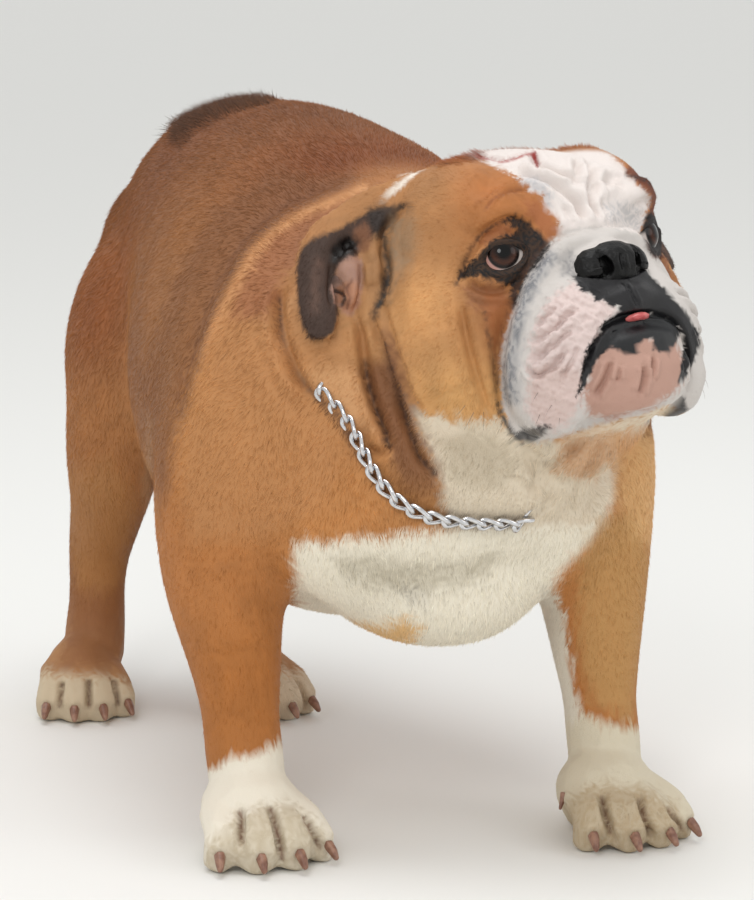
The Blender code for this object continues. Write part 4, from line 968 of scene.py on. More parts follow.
def zonesOf(points, facing):
    parts = regionsOf(points)
    legs = 1 - ramp(points[:, 2], 0.205, 0.225)
    fore = legs * (1 - ramp(points[:, 1], -0.07, -0.05))
    seen = ramp(facing, -0.5, 0.0)
    local = parts["local"]
    far = ramp(local[:, 0], 0.030, 0.038) * (1 - ramp(local[:, 1], 0.016, 0.030))
    return {
        "head": np.ones(len(points)) * (1 - ramp(local[:, 1], 0.105, 0.125)),
        "far side": far, "ear": parts["ears"],
        "neck": (1 - parts["ears"]) * ramp(points[:, 2], 0.20, 0.24) * (1 - ramp(points[:, 1], -0.05, -0.02)),
        "front": seen * (1 - ramp(points[:, 1], -0.06, -0.02)),
        "throat": seen * (1 - ramp(points[:, 1], -0.10, -0.07)) * (1 - ramp(local[:, 0], 0.055, 0.080)),
        "right foreleg": fore * (points[:, 0] < -0.04),
        "left foreleg": fore * (points[:, 0] > 0.03),
        "hind": (points[:, 1] > 0.08) * 1.0,
        "barrel": (local[:, 1] > 0.13) * seen,
        "side": seen * (1 - parts["ears"]),
        "front side": seen * (1 - parts["ears"]) * (1 - ramp(points[:, 1], 0.0, 0.04)),
    }


def coversOf(points, normals, names):
    # how far each named marking covers each point, from 0 to 1, in their order
    toCamera = np.array(cameraPlace) - points
    toCamera /= np.linalg.norm(toCamera, axis=1)[:, None]
    facing = np.einsum("ij,ij->i", normals, toCamera)
    zones = zonesOf(points, facing)
    mirrored, unseen = toPhotoSide(points)
    direct, other = photoPixels(points), photoPixels(mirrored)
    ragged, speckle = wave(points, 0.0045, 7), wave(points, 0.0016, 8)
    for name in names:
        tint, strength, soft, rough, flecks, zone, outline = markingsAndShade[name]
        cover = np.zeros(len(points))
        half = outline[0] if np.isscalar(outline[0]) else 0.0
        line = np.array(outline[1:] if half else outline, dtype=float)
        margin = half + soft + rough
        twoSided = zone in ("head", "ear", "neck")
        views = ((direct, 1 - unseen), (other, unseen)) if twoSided else ((direct, 1 - 0 * unseen),)
        for spots, share in views:
            near = np.all((spots > line.min(0) - margin) & (spots < line.max(0) + margin), axis=1)
            near = np.nonzero(near & (zones[zone] > 0) & (share > 0))[0]
            gap = lineDistance(spots[near], line) - half if half else outlineDistance(spots[near], line)
            gap = gap + rough * ragged[near]
            cover[near] += share[near] * (1 - ramp(gap, -soft, soft))
        cover = cover * zones[zone] * strength
        if flecks:
            cover = cover * (1 - flecks * ramp(speckle, -0.35, 0.25))
        yield name, screen(*tint), cover


def coverOf(points, normals, *names):
    most = np.zeros(len(points))
    for _, _, cover in coversOf(points, normals, names):
        most = np.maximum(most, cover)
    return most


def paintOn(points, normals):
    # the colour of each point, how bare it is, and how its hair stands out
    colour = groundAt(points)
    colour *= (1 + 0.07 * wave(points, 0.030, 5) + 0.05 * wave(points, 0.006, 6))[:, None]
    bare, raised = np.zeros(len(points)), np.zeros((len(points), 2))
    for name, tint, cover in coversOf(points, normals, markingsAndShade):
        if name in bareMarkings:
            bare = np.maximum(bare, cover)
        if name in raisedMarkings:
            raised += cover[:, None] * raisedMarkings[name]
        colour += (tint - colour) * cover[:, None]
    return np.clip(colour, 0.001, 1), bare, raised


def storeColour(obj, name, colour):
    layer = obj.data.color_attributes.new(name=name, type="FLOAT_COLOR", domain="POINT")
    four = np.ones((len(colour), 4), dtype=np.float32)
    four[:, :3] = colour
    layer.data.foreach_set("color", four.ravel())


def storeNumber(obj, name, values):
    layer = obj.data.attributes.new(name=name, type="FLOAT", domain="POINT")
    layer.data.foreach_set("value", values.astype(np.float32))


skin = makeSkin()
stage("skin eased")
shapeSkin(skin)
shapeLids(skin)
makeBowl(skin)
stage("folds and lids shaped")
thinSkin(skin)
stage(f"skin thinned to {len(skin.data.polygons)} triangles")

skinColour, skinBare, _ = paintOn(pointsOf(skin), normalsOf(skin))
storeColour(skin, "markingsAndShade", skinColour)
storeNumber(skin, "bare", skinBare)
stage("markings painted")


def simpleFinish(name, colour, rough, metal=0.0):
    made = bpy.data.materials.new(name)
    made.use_nodes = True
    shader = made.node_tree.nodes["Principled BSDF"]
    shader.inputs["Base Color"].default_value = (*colour, 1)
    shader.inputs["Roughness"].default_value = rough
    shader.inputs["Metallic"].default_value = metal
    return made


def dress(obj, material, slotName, *nodes):
    obj.data.materials.clear()
    obj.data.materials.append(material)
    makeActive(obj)
    bpy.ops.object.shade_smooth()
    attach(obj, "root")
    if nodes:
        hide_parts(*nodes)


def coatFinish():
    # short fur as fine relief, moist and smoother where the skin is bare
    made = simpleFinish("coat", (0.46, 0.22, 0.09), 0.6)
    nodes, links = made.node_tree.nodes, made.node_tree.links
    shader = nodes["Principled BSDF"]
    paint, bare = nodes.new("ShaderNodeAttribute"), nodes.new("ShaderNodeAttribute")
    paint.attribute_name, bare.attribute_name = "markingsAndShade", "bare"
    links.new(paint.outputs["Color"], shader.inputs["Base Color"])
    gloss = nodes.new("ShaderNodeMapRange")
    gloss.inputs["To Min"].default_value, gloss.inputs["To Max"].default_value = 0.66, 0.36
    links.new(bare.outputs["Fac"], gloss.inputs["Value"])
    links.new(gloss.outputs["Result"], shader.inputs["Roughness"])
    shader.inputs["Specular IOR Level"].default_value = 0.35
    return made


skinFinish = coatFinish()
dress(skin, skinFinish, "coat", *skinNodes)

# Eyes: balls with a raised clear window, painted in rings round the way they look, with painted shade from the
# upper lid
eyeRings = {
    "window": 0.0007, "segments": 128, "rings": 96,
    "colours": [(0, (3, 3, 3)), (13, (3, 3, 3)), (17, (34, 17, 11)), (27, (66, 34, 20)),
                (34, (30, 16, 11)), (38, (8, 6, 6)), (41, (24, 16, 15)), (45, (186, 176, 170)),
                (90, (200, 190, 184))],
    # brown and lidShade: painted shade from the upper lid on the eye
    "pinkTint": (182, 136, 126), "brown": (30, 20, 17), "lidShade": 0.75,
}


def gazeWay(side):
    out, nosewards, up = eyeAxes(side)
    across, rise = eyeShape["gaze"][side]
    turn = math.radians(math.hypot(across, rise))
    tilt = (nosewards * across + up * rise) / math.hypot(across, rise)
    return out * math.cos(turn) + tilt * math.sin(turn)


def makeEye(side):
    deselectAll()
    bpy.ops.mesh.primitive_uv_sphere_add(segments=eyeRings["segments"], ring_count=eyeRings["rings"],
                                         radius=eyeShape["radius"])
    ball = bpy.context.active_object
    ball.name = "eyeball_" + side
    gaze = gazeWay(side)
    ball.data.transform(Vector(gaze).to_track_quat("Z", "Y").to_matrix().to_4x4())
    points = pointsOf(ball)
    ways = points / np.linalg.norm(points, axis=1)[:, None]
    angle = np.degrees(np.arccos(np.clip(ways @ gaze, -1, 1)))
    dome = eyeRings["window"] * (1 - ramp(angle, 12, 46))
    movePoints(ball, points + ways * dome[:, None] + np.array(eyeMiddle[side]))
    streak = 1 + 0.20 * wave(ways * 0.02 - gaze * (ways @ gaze)[:, None] * 0.02, 0.0018, 21)
    stops = [stop for stop, _ in eyeRings["colours"]]
    tints = np.array([screen(*tint) for _, tint in eyeRings["colours"]])
    colour = np.stack([np.interp(angle, stops, tints[:, k]) for k in range(3)], axis=1)
    iris = ((angle > 15) & (angle < 40))[:, None]
    colour = np.where(iris, colour * streak[:, None], colour)
    spots, _ = eyeAngles(pointsOf(ball), side)
    pink = ramp(angle, 40, 44) * ramp(-spots[:, 0], -10, 22)
    colour += (screen(*eyeRings["pinkTint"]) - colour) * pink[:, None]
    # painted shade: a dark band on the top of the white, and the ball darkened upwards under the upper lid
    dark = ramp(angle, 41, 43) * ramp(spots[:, 1], 4, 16)
    colour += (screen(*eyeRings["brown"]) - colour) * dark[:, None]
    shade = 1 - eyeRings["lidShade"] * ramp(spots[:, 1], -4, 24)
    colour = colour * shade[:, None]
    storeColour(ball, "rings", np.clip(colour, 0.0005, 1))
    return ball


def eyeFinish():
    made = simpleFinish("eye", (0.08, 0.04, 0.02), 0.12)
    nodes, links = made.node_tree.nodes, made.node_tree.links
    shader = nodes["Principled BSDF"]
    paint = nodes.new("ShaderNodeAttribute")
    paint.attribute_name = "rings"
    links.new(paint.outputs["Color"], shader.inputs["Base Color"])
    shader.inputs["IOR"].default_value = 1.38
    shader.inputs["Specular IOR Level"].default_value = 0.15
    shader.inputs["Coat Weight"].default_value = 0.35
    shader.inputs["Coat Roughness"].default_value = 0.015
    return made


wetEye = eyeFinish()
for side in ("right", "left"):
    dress(makeEye(side), wetEye, "eyes", "eye_" + side)
stage("eyes made")


def bumped(made, scale, strength, distance, detail=3.0, kind="noise"):
    # a fine relief in the object's own coordinates
    nodes, links = made.node_tree.nodes, made.node_tree.links
    place = nodes.new("ShaderNodeTexCoord")
    if kind == "cells":
        grain = nodes.new("ShaderNodeTexVoronoi")
        grain.feature = "SMOOTH_F1"
        height = grain.outputs["Distance"]
    else:
        grain = nodes.new("ShaderNodeTexNoise")
        grain.inputs["Detail"].default_value = detail
        height = grain.outputs["Fac"]
    grain.inputs["Scale"].default_value = scale
    relief = nodes.new("ShaderNodeBump")
    relief.inputs["Strength"].default_value = strength
    relief.inputs["Distance"].default_value = distance
    relief.invert = kind == "cells"
    links.new(place.outputs["Object"], grain.inputs["Vector"])
    links.new(height, relief.inputs["Height"])
    links.new(relief.outputs["Normal"], made.node_tree.nodes["Principled BSDF"].inputs["Normal"])
    return grain


def mottled(made, scale, colours):
    # two or more colours mixed by a soft noise
    nodes, links = made.node_tree.nodes, made.node_tree.links
    place = nodes.new("ShaderNodeTexCoord")
    noise = nodes.new("ShaderNodeTexNoise")
    noise.inputs["Scale"].default_value = scale
    noise.inputs["Detail"].default_value = 4.0
    mix = nodes.new("ShaderNodeValToRGB")
    band = mix.color_ramp.elements
    band[0].position, band[1].position = 0.35, 0.65
    band[0].color = (*screen(*colours[0]), 1)
    band[1].color = (*screen(*colours[1]), 1)
    links.new(place.outputs["Object"], noise.inputs["Vector"])
    links.new(noise.outputs["Fac"], mix.inputs["Fac"])
    links.new(mix.outputs["Color"], nodes["Principled BSDF"].inputs["Base Color"])


def finerCopy(node, name, voxel, rounds, grow=0.0):
    made = copyNode(node, name)
    if grow:
        modify(made, "DISPLACE", strength=grow, mid_level=0.0)
    modify(made, "REMESH", mode="VOXEL", voxel_size=voxel)
    modify(made, "SMOOTH", factor=0.5, iterations=rounds)
    return made


bumped(skinFinish, 1500.0, 0.5, 0.0006)

# Nose leather: wet, pebbled and nearly black
noseLeather = finerCopy("nose", "nose_leather", noseShape["voxel"], noseShape["rounds"], noseShape["grow"])
pressAll(noseLeather, noseLines, treeOf(noseLeather))
noseFinish = simpleFinish("nose leather", (0.016, 0.015, 0.016), 0.42)
mottled(noseFinish, 160.0, [(8, 8, 8), (17, 16, 16)])
bumped(noseFinish, 850.0, 0.55, 0.0004, kind="cells")
noseFinish.node_tree.nodes["Principled BSDF"].inputs["Specular IOR Level"].default_value = 0.22
dress(noseLeather, noseFinish, "nose_leather", "nose")

# Tongue: a moist tip between the lips
tongueTip = finerCopy("tongue", "tongue_tip", 0.0006, 6)
tongueShape = {"smaller": (0.80, 1.0, 0.85), "back": 0.0010}
tongueLocal = moved(headInverse, pointsOf(tongueTip))
tongueMiddle = tongueLocal.mean(axis=0)
tongueLocal = tongueMiddle + (tongueLocal - tongueMiddle) * tongueShape["smaller"]
movePoints(tongueTip, moved(headFrame, tongueLocal + (0, tongueShape["back"], 0)))
tongueFinish = simpleFinish("tongue", (0.6, 0.25, 0.24), 0.3)
mottled(tongueFinish, 120.0, [(176, 72, 74), (206, 112, 108)])
bumped(tongueFinish, 1300.0, 0.35, 0.0003, kind="cells")
dress(tongueTip, tongueFinish, "mouth", "tongue")
stage("nose and tongue made")

# Claws: blunt worn horn
clawShape = {"voxel": 0.0005, "rounds": 18, "wider": 1.12}
clawNodes = [part["node"] for part in frame["record"]["subparts"] if part["material_slot"] == "claws"]


def makeClaws():
    pieces = []
    for node in clawNodes:
        piece = copyNode(node, "horn_" + node)
        points = pointsOf(piece)
        middle = points.mean(axis=0)
        wide = clawShape["wider"]
        movePoints(piece, middle + (points - middle) * (wide, wide, 1.0))
        pieces.append(piece)
    made = joinAll(pieces, "claws")
    modify(made, "REMESH", mode="VOXEL", voxel_size=clawShape["voxel"])
    modify(made, "SMOOTH", factor=0.5, iterations=clawShape["rounds"])
    return made


clawFinish = simpleFinish("horn", (0.42, 0.27, 0.2), 0.38)
mottled(clawFinish, 220.0, [(112, 74, 58), (152, 114, 94)])
bumped(clawFinish, 900.0, 0.25, 0.0003)
dress(makeClaws(), clawFinish, "claws", *clawNodes)

# Dewclaws on the inner side of the forelegs: place on the photo, size, and how they lean
dewShape = {"pixel": (563, 797), "radius": 0.0023, "tip": 0.0009, "length": 0.0105, "sunk": 0.25,
            "lean": (0.45, -0.35, -1.0)}


def makeDewclaws(tree):
    place, out = tree.ray_cast(cameraPlace, pixelRay(*dewShape["pixel"]))[:2]
    away = place - boxMiddle("forepaw_left")
    mirrored = boxMiddle("forepaw_right") + Vector((-away.x, away.y, away.z))
    pieces = []
    for spot, inward in ((place, -1), (tree.find_nearest(mirrored)[0], 1)):
        across, ahead, down = dewShape["lean"]
        way = Vector((inward * across, ahead, down)).normalized()
        middle = spot + way * dewShape["length"] * (0.5 - dewShape["sunk"])
        deselectAll()
        bpy.ops.mesh.primitive_cone_add(
            vertices=16, radius1=dewShape["radius"], radius2=dewShape["tip"], depth=dewShape["length"],
            location=middle, rotation=way.to_track_quat("Z", "Y").to_euler())
        bpy.ops.object.transform_apply(location=True, rotation=True, scale=True)
        pieces.append(bpy.context.active_object)
    made = joinAll(pieces, "dewclaws")
    modify(made, "REMESH", mode="VOXEL", voxel_size=clawShape["voxel"])
    modify(made, "SMOOTH", factor=0.5, iterations=4)
    return made


dress(makeDewclaws(treeOf(skin)), clawFinish, "claws")
stage("claws made")

# Chain: curb links along the middle line of the CAD's chain
chainShape = {
    "waves": 10, "pitch": 0.0108, "wire": 0.00150, "halfWidth": 0.0038, "lift": 0.00155,
    "steps": 36, "sides": 10, "settle": 0.0012, "tuck": 0.0105, "blend": 7.0,
    "showsFrom": (318, 398), "showsTo": (521, 525),
}


def chainLine():
    # the chain's middle line: its radius and its height over a plane, as waves round the neck
    points = np.unique(np.round(pointsOf(frame["nodes"]["collar_chain"]), 6), axis=0)
    middle = points.mean(axis=0)
    normal = np.linalg.svd(points - middle, full_matrices=False)[2][2]
    normal = normal * np.sign(normal[2])
    across = np.cross((0.0, 0.0, 1.0), normal)
    across /= np.linalg.norm(across)
    up = np.cross(normal, across)
    away = points - middle

    def waves(angles):
        rows = [np.ones_like(angles)]
        for k in range(1, chainShape["waves"]):
            rows += [np.cos(k * angles), np.sin(k * angles)]
        return np.stack(rows, axis=1)

    around = np.arctan2(away @ up, away @ across)
    reach = np.linalg.lstsq(waves(around), np.hypot(away @ across, away @ up), rcond=None)[0]
    height = np.linalg.lstsq(waves(around), away @ normal, rcond=None)[0]
    angles = np.linspace(0, 2 * math.pi, 2881)
    spokes = np.cos(angles)[:, None] * across + np.sin(angles)[:, None] * up
    line = middle + spokes * (waves(angles) @ reach)[:, None] + normal * (waves(angles) @ height)[:, None]
    return angles, line, spokes, normal


def hiddenShare(angles, line):
    # 1 where folds of skin cover the chain: over the nape, and at the left of the throat
    near = photoPixels(line)
    degrees = np.degrees(angles)
    front = (degrees > 120) & (degrees < 330)
    gapFrom = np.where(front, np.linalg.norm(near - chainShape["showsFrom"], axis=1), 1e9)
    gapTo = np.where(front, np.linalg.norm(near - chainShape["showsTo"], axis=1), 1e9)
    start, end = degrees[np.argmin(gapFrom)], degrees[np.argmin(gapTo)]
    blend = chainShape["blend"]
    nape = ramp(degrees, 180 - start - blend, 180 - start) * (1 - ramp(degrees, start - blend, start))
    throat = ramp(degrees, end, end + blend) * (1 - ramp(degrees, end + 62, end + 62 + blend))
    print(f"the chain shows from {start:.0f} to {end:.0f} degrees")
    return np.maximum(nape, throat)


def makeChain():
    angles, line, spokes, normal = chainLine()
    hidden = hiddenShare(angles, line)
    line = line - spokes * (chainShape["settle"] + chainShape["tuck"] * hidden)[:, None]
    along = np.concatenate(([0], np.cumsum(np.linalg.norm(np.diff(line, axis=0), axis=1))))
    count = int(round(along[-1] / chainShape["pitch"]))
    pitch = along[-1] / count
    wire, half, lift = chainShape["wire"], chainShape["halfWidth"], chainShape["lift"]
    steps, sides = chainShape["steps"], chainShape["sides"]
    turn = np.linspace(0, 2 * math.pi, steps, endpoint=False)
    reach = pitch / 2 + wire * 1.12
    core = np.stack((reach * np.cos(turn), half * np.sin(turn), lift * np.sin(2 * turn)), axis=1)
    way = np.roll(core, -1, axis=0) - np.roll(core, 1, axis=0)
    way /= np.linalg.norm(way, axis=1)[:, None]
    side = np.cross(way, (0.0, 0.0, 1.0))
    side /= np.linalg.norm(side, axis=1)[:, None]
    over = np.cross(side, way)
    ring = np.linspace(0, 2 * math.pi, sides, endpoint=False)
    link = (core[:, None] + wire * (np.cos(ring)[None, :, None] * side[:, None]
                                    + np.sin(ring)[None, :, None] * over[:, None])).reshape(-1, 3)
    faces = []
    for i in range(steps):
        for j in range(sides):
            a, b = i * sides + j, i * sides + (j + 1) % sides
            c, d = ((i + 1) % steps) * sides + (j + 1) % sides, ((i + 1) % steps) * sides + j
            faces.append((a, b, c, d))
    faces = np.array(faces)
    spots, quads = [], []
    for k in range(count):
        here = k * pitch
        centre = np.array([np.interp(here, along, line[:, axis]) for axis in range(3)])
        ahead = np.array([np.interp((here + 0.004) % along[-1], along, line[:, axis]) for axis in range(3)])
        behind = np.array([np.interp((here - 0.004) % along[-1], along, line[:, axis]) for axis in range(3)])
        x = (ahead - behind) / np.linalg.norm(ahead - behind)
        z = np.array([np.interp(here, along, spokes[:, axis]) for axis in range(3)])
        z = z - x * (z @ x)
        z /= np.linalg.norm(z)
        y = np.cross(z, x)
        spots.append(centre + link @ np.stack((x, y, z)))
        quads.append(faces + k * len(link))
    made = meshFrom("chain_links", np.concatenate(spots), np.concatenate(quads))
    return made


def meshFrom(name, points, faces):
    # a new object from arrays of points and of faces with the same number of corners each
    mesh = bpy.data.meshes.new(name)
    corners = faces.shape[1]
    mesh.vertices.add(len(points))
    mesh.vertices.foreach_set("co", points.astype(np.float32).ravel())
    mesh.loops.add(faces.size)
    mesh.loops.foreach_set("vertex_index", faces.astype(np.int32).ravel())
    mesh.polygons.add(len(faces))
    mesh.polygons.foreach_set("loop_start", np.arange(0, faces.size, corners, dtype=np.int32))
    mesh.update(calc_edges=True)
    made = bpy.data.objects.new(name, mesh)
    bpy.context.scene.collection.objects.link(made)
    return made


chainFinish = simpleFinish("polished steel", (0.30, 0.29, 0.28), 0.15, 1.0)
mottled(chainFinish, 300.0, [(196, 197, 200), (222, 222, 224)])
bumped(chainFinish, 1200.0, 0.08, 0.0002)
dress(makeChain(), chainFinish, "chain", "collar_chain")
stage("chain made")

# The coat: many thin tufts that lie along the body
coatShape = {
    "share": 0.93, "perPiece": 48000, "thickness": 0.30, "sink": 0.0004, "unevenLift": 5.0,
    "swirl": 0.22, "patch": 0.0015, "soleHeight": 0.006, "widthShare": 0.095, "width": (0.00030, 0.00068),
}
# Tufts by place beside the middle line: length in mm, tufts to a square cm, lift in degrees, comb way
combGuides = {
    "back": ((0.00, 0.050, 0.415), 6.1, 57, 13, (0.10, 1.0, -0.05)),
    "loin": ((0.05, 0.120, 0.400), 6.1, 55, 13, (0.15, 1.0, -0.25)),
    "rump": ((0.03, 0.240, 0.360), 6.1, 54, 13, (0.15, 0.7, -0.8)),
    "tail": ((0.01, 0.275, 0.375), 10.0, 77, 26, (0.0, 0.6, -0.9)),
    "withers": ((0.02, -0.060, 0.390), 5.7, 57, 13, (0.25, 1.0, -0.05)),
    "ribs": ((0.13, 0.010, 0.270), 5.3, 52, 10, (0.0, 0.8, -0.8)),
    "shoulder": ((0.14, -0.100, 0.270), 5.3, 54, 10, (0.1, 0.45, -1.0)),
    "upper foreleg": ((0.14, -0.120, 0.170), 4.5, 54, 9, (0.0, 0.25, -1.0)),
    "lower foreleg": ((0.12, -0.150, 0.100), 4.1, 55, 9, (0.0, 0.2, -1.0)),
    "haunch": ((0.10, 0.180, 0.280), 5.7, 50, 11, (0.0, 0.45, -1.0)),
    "thigh": ((0.11, 0.190, 0.190), 5.3, 50, 10, (0.0, 0.3, -1.0)),
    "hock": ((0.10, 0.240, 0.100), 4.5, 52, 10, (0.0, 0.25, -1.0)),
    "hind foot": ((0.10, 0.215, 0.030), 2.2, 84, 9, (0.0, -0.8, -0.5)),
    "fore foot": ((0.12, -0.165, 0.030), 2.2, 88, 9, (0.0, -0.8, -0.5)),
    "flank": ((0.09, 0.100, 0.200), 5.3, 48, 10, (-0.1, 0.6, -0.8)),
    "belly": ((0.00, 0.050, 0.115), 5.7, 45, 12, (0.0, 1.0, -0.1)),
    "breast": ((0.06, -0.180, 0.200), 5.3, 54, 12, (-0.2, 0.25, -1.0)),
    "chest": ((0.00, -0.160, 0.140), 5.7, 54, 13, (0.0, 0.8, -0.8)),
    "nape": ((0.03, -0.130, 0.400), 5.7, 55, 15, (0.15, 1.0, 0.1)),
    "neck side": ((0.11, -0.130, 0.300), 5.3, 54, 12, (0.1, 0.75, -0.8)),
}
# The same on the head, in its own frame
headGuides = {
    "crown": ((0.03, 0.090, 0.060), 4.0, 88, 11, (0.1, 1.0, 0.2)),
    "forehead": ((0.02, 0.030, 0.045), 2.8, 105, 9, (0.15, 0.8, 0.8)),
    "temple": ((0.07, 0.045, 0.035), 3.8, 100, 10, (0.4, 1.0, 0.2)),
    "brow": ((0.05, 0.010, 0.025), 2.8, 115, 10, (0.7, 0.3, 0.6)),
    "cheek": ((0.09, 0.040, -0.020), 4.0, 100, 9, (0.5, 1.0, -0.5)),
    "jowl": ((0.08, 0.030, -0.080), 4.5, 90, 10, (0.2, 0.8, -0.8)),
    "under the eye": ((0.06, -0.002, -0.030), 2.8, 115, 9, (0.7, 0.5, -0.6)),
    "nose roll": ((0.00, -0.015, 0.008), 2.0, 120, 10, (0.2, 0.8, 0.9)),
    "flew": ((0.045, -0.030, -0.060), 2.2, 90, 10, (0.5, 0.4, -0.8)),
    "flew edge": ((0.055, -0.020, -0.100), 2.8, 90, 13, (0.1, 0.5, -1.0)),
    "chin": ((0.00, -0.035, -0.080), 1.8, 60, 12, (0.0, 0.4, -1.0)),
    "under the jaw": ((0.02, 0.020, -0.110), 5.5, 72, 14, (0.1, 1.0, -0.5)),
    "ear": ((0.100, 0.090, 0.000), 2.2, 90, 10, (0.5, 0.2, -0.9)),
}


def guidesAt(points):
    # length, number, lift and comb way at each point, blended by distance
    parts = regionsOf(points)
    turn = np.array(headTurn)
    total = np.zeros((len(points), 6))
    for table, where, share in (
            (combGuides, points, 1 - parts["head"]), (headGuides, parts["local"], parts["head"])):
        beside = where.copy()
        beside[:, 0] = np.abs(beside[:, 0])
        weight, blend = np.zeros(len(points)), np.zeros((len(points), 6))
        for place, length, number, lift, way in table.values():
            pull = 1 / (np.linalg.norm(beside - place, axis=1) + 0.010) ** 3
            weight += pull
            blend += pull[:, None] * np.array((length, number, lift, *way))
        blend /= weight[:, None]
        blend[:, 3] *= np.where(where[:, 0] < 0, -1, 1)
        if table is headGuides:
            blend[:, 3:] = blend[:, 3:] @ turn.T
        total += share[:, None] * blend
    return total, parts


def unwrapSkin(made):
    makeActive(made)
    bpy.ops.object.mode_set(mode="EDIT")
    bpy.ops.mesh.select_all(action="SELECT")
    bpy.ops.uv.smart_project(angle_limit=math.radians(66), island_margin=0.001)
    bpy.ops.object.mode_set(mode="OBJECT")


def rootsOf(made):
    # random roots over the skin, as many as the guides ask for at each place
    draw = np.random.default_rng(3)
    points, normals = pointsOf(made), normalsOf(made)
    count = len(made.data.polygons)
    corners = np.empty(count * 3, dtype=np.int32)
    made.data.loops.foreach_get("vertex_index", corners)
    spots = np.empty(count * 6, dtype=np.float32)
    made.data.uv_layers.active.data.foreach_get("uv", spots)
    corners, spots = corners.reshape(-1, 3), spots.reshape(-1, 3, 2)
    a, b, c = (points[corners[:, k]] for k in range(3))
    area = np.linalg.norm(np.cross(b - a, c - a), axis=1) / 2
    number = guidesAt((a + b + c) / 3)[0][:, 1] * 1e4 * coatShape["share"]
    each = np.floor(area * number + draw.random(count)).astype(int)
    face = np.repeat(np.arange(count), each)
    u, v = draw.random(len(face)), draw.random(len(face))
    over = u + v > 1
    u[over], v[over] = 1 - u[over], 1 - v[over]
    shares = np.stack((1 - u - v, u, v), axis=1)
    place = np.einsum("ik,ikj->ij", shares, points[corners[face]])
    normal = np.einsum("ik,ikj->ij", shares, normals[corners[face]])
    normal /= np.linalg.norm(normal, axis=1)[:, None]
    return place, normal, np.einsum("ik,ikj->ij", shares, spots[face])


def growCoat(made):
    draw = np.random.default_rng(4)
    place, normal, spot = rootsOf(made)
    colour, bare, raised = paintOn(place, normal)
    guide, parts = guidesAt(place)
    guide[:, [0, 2]] += raised
    nose = outlineDistance(photoPixels(place), np.array(noseShape["outline"], dtype=float))
    mirror = moved(headFrame, parts["local"] * (-1, 1, 1))
    nose = np.minimum(nose, outlineDistance(photoPixels(mirror), np.array(noseShape["outline"], dtype=float)))
    hidden = (place[:, 2] < coatShape["soleHeight"]) & (normal[:, 2] < -0.3)
    hidden |= (nose < 3) & (parts["local"][:, 1] < noseShape["depth"] + 0.004)
    for side in ("right", "left"):
        angles, far = eyeAngles(place, side)
        hidden |= (far < eyeShape["radius"] + 0.004) & (outlineDistance(angles, lidOpening()) < 6)
    stay = np.nonzero((bare < 0.35 + 0.3 * draw.random(len(place))) & ~hidden)[0]
    place, normal, spot, colour, guide = place[stay], normal[stay], spot[stay], colour[stay], guide[stay]
    count = len(place)
    length = guide[:, 0] * 0.001 * draw.uniform(0.75, 1.25, count)
    lift = np.radians(guide[:, 2] + draw.normal(0, coatShape["unevenLift"], count))
    way = guide[:, 3:]
    sway = np.stack([wave(place, 0.05, 31 + k) for k in range(3)], axis=1)
    sway += 0.6 * np.stack([wave(place, 0.012, 41 + k) for k in range(3)], axis=1)
    way = way / np.linalg.norm(way, axis=1)[:, None] + coatShape["swirl"] * sway
    way += draw.normal(0, 0.12, way.shape)
    way -= normal * np.einsum("ij,ij->i", way, normal)[:, None]
    way /= np.maximum(np.linalg.norm(way, axis=1), 1e-6)[:, None]
    across = np.cross(way, normal)
    low, high = coatShape["width"]
    width = np.clip(length * coatShape["widthShare"], low, high) * draw.uniform(0.8, 1.2, count)
    start = place - normal * coatShape["sink"]
    tip = start + length[:, None] * (way * np.cos(lift)[:, None] + normal * np.sin(lift)[:, None])
    top = start + normal * (width * coatShape["thickness"])[:, None]
    one, two = start + across * width[:, None] / 2, start - across * width[:, None] / 2
    spikes = np.stack((one, two, top, tip), axis=1)
    unevenness = np.clip(0.022 * guide[:, 0], 0.04, 0.15)
    shade = (1 + draw.normal(0, 1, count) * unevenness)[:, None, None] * np.array((0.90, 0.90, 1.0, 1.10))[None, :, None]
    tints = np.clip(colour[:, None, :] * shade, 0.001, 1)
    patch = coatShape["patch"]
    marks = np.array(((-patch, -patch), (patch, -patch), (0, 0), (0, patch)))
    faces = np.array(((0, 1, 3), (1, 2, 3), (2, 0, 3), (0, 2, 1)))
    pieces = []
    for k, first in enumerate(range(0, count, coatShape["perPiece"])):
        part = slice(first, min(first + coatShape["perPiece"], count))
        many = part.stop - part.start
        joined = (faces[None] + 4 * np.arange(many)[:, None, None]).reshape(-1, 3)
        piece = meshFrom(f"coat_{k + 1}", spikes[part].reshape(-1, 3), joined)
        storeColour(piece, "markingsAndShade", tints[part].reshape(-1, 3))
        layer = piece.data.uv_layers.new(name="OFBake")
        flat = (spot[part][:, None, :] + marks[None]).reshape(-1, 2)[joined.ravel()]
        layer.data.foreach_set("uv", flat.astype(np.float32).ravel())
        pieces.append(piece)
    print(f"{count} tufts in {len(pieces)} pieces")
    return pieces


def furFinish():
    made = simpleFinish("fur", (0.46, 0.22, 0.09), 0.62)
    nodes, links = made.node_tree.nodes, made.node_tree.links
    shader = nodes["Principled BSDF"]
    paint = nodes.new("ShaderNodeAttribute")
    paint.attribute_name = "markingsAndShade"
    links.new(paint.outputs["Color"], shader.inputs["Base Color"])
    shader.inputs["Specular IOR Level"].default_value = 0.15
    return made


unwrapSkin(skin)
stage("skin unwrapped")
furLook = furFinish()
for piece in growCoat(skin):
    dress(piece, furLook, "coat")
    bpy.ops.object.shade_flat()
stage("coat grown")

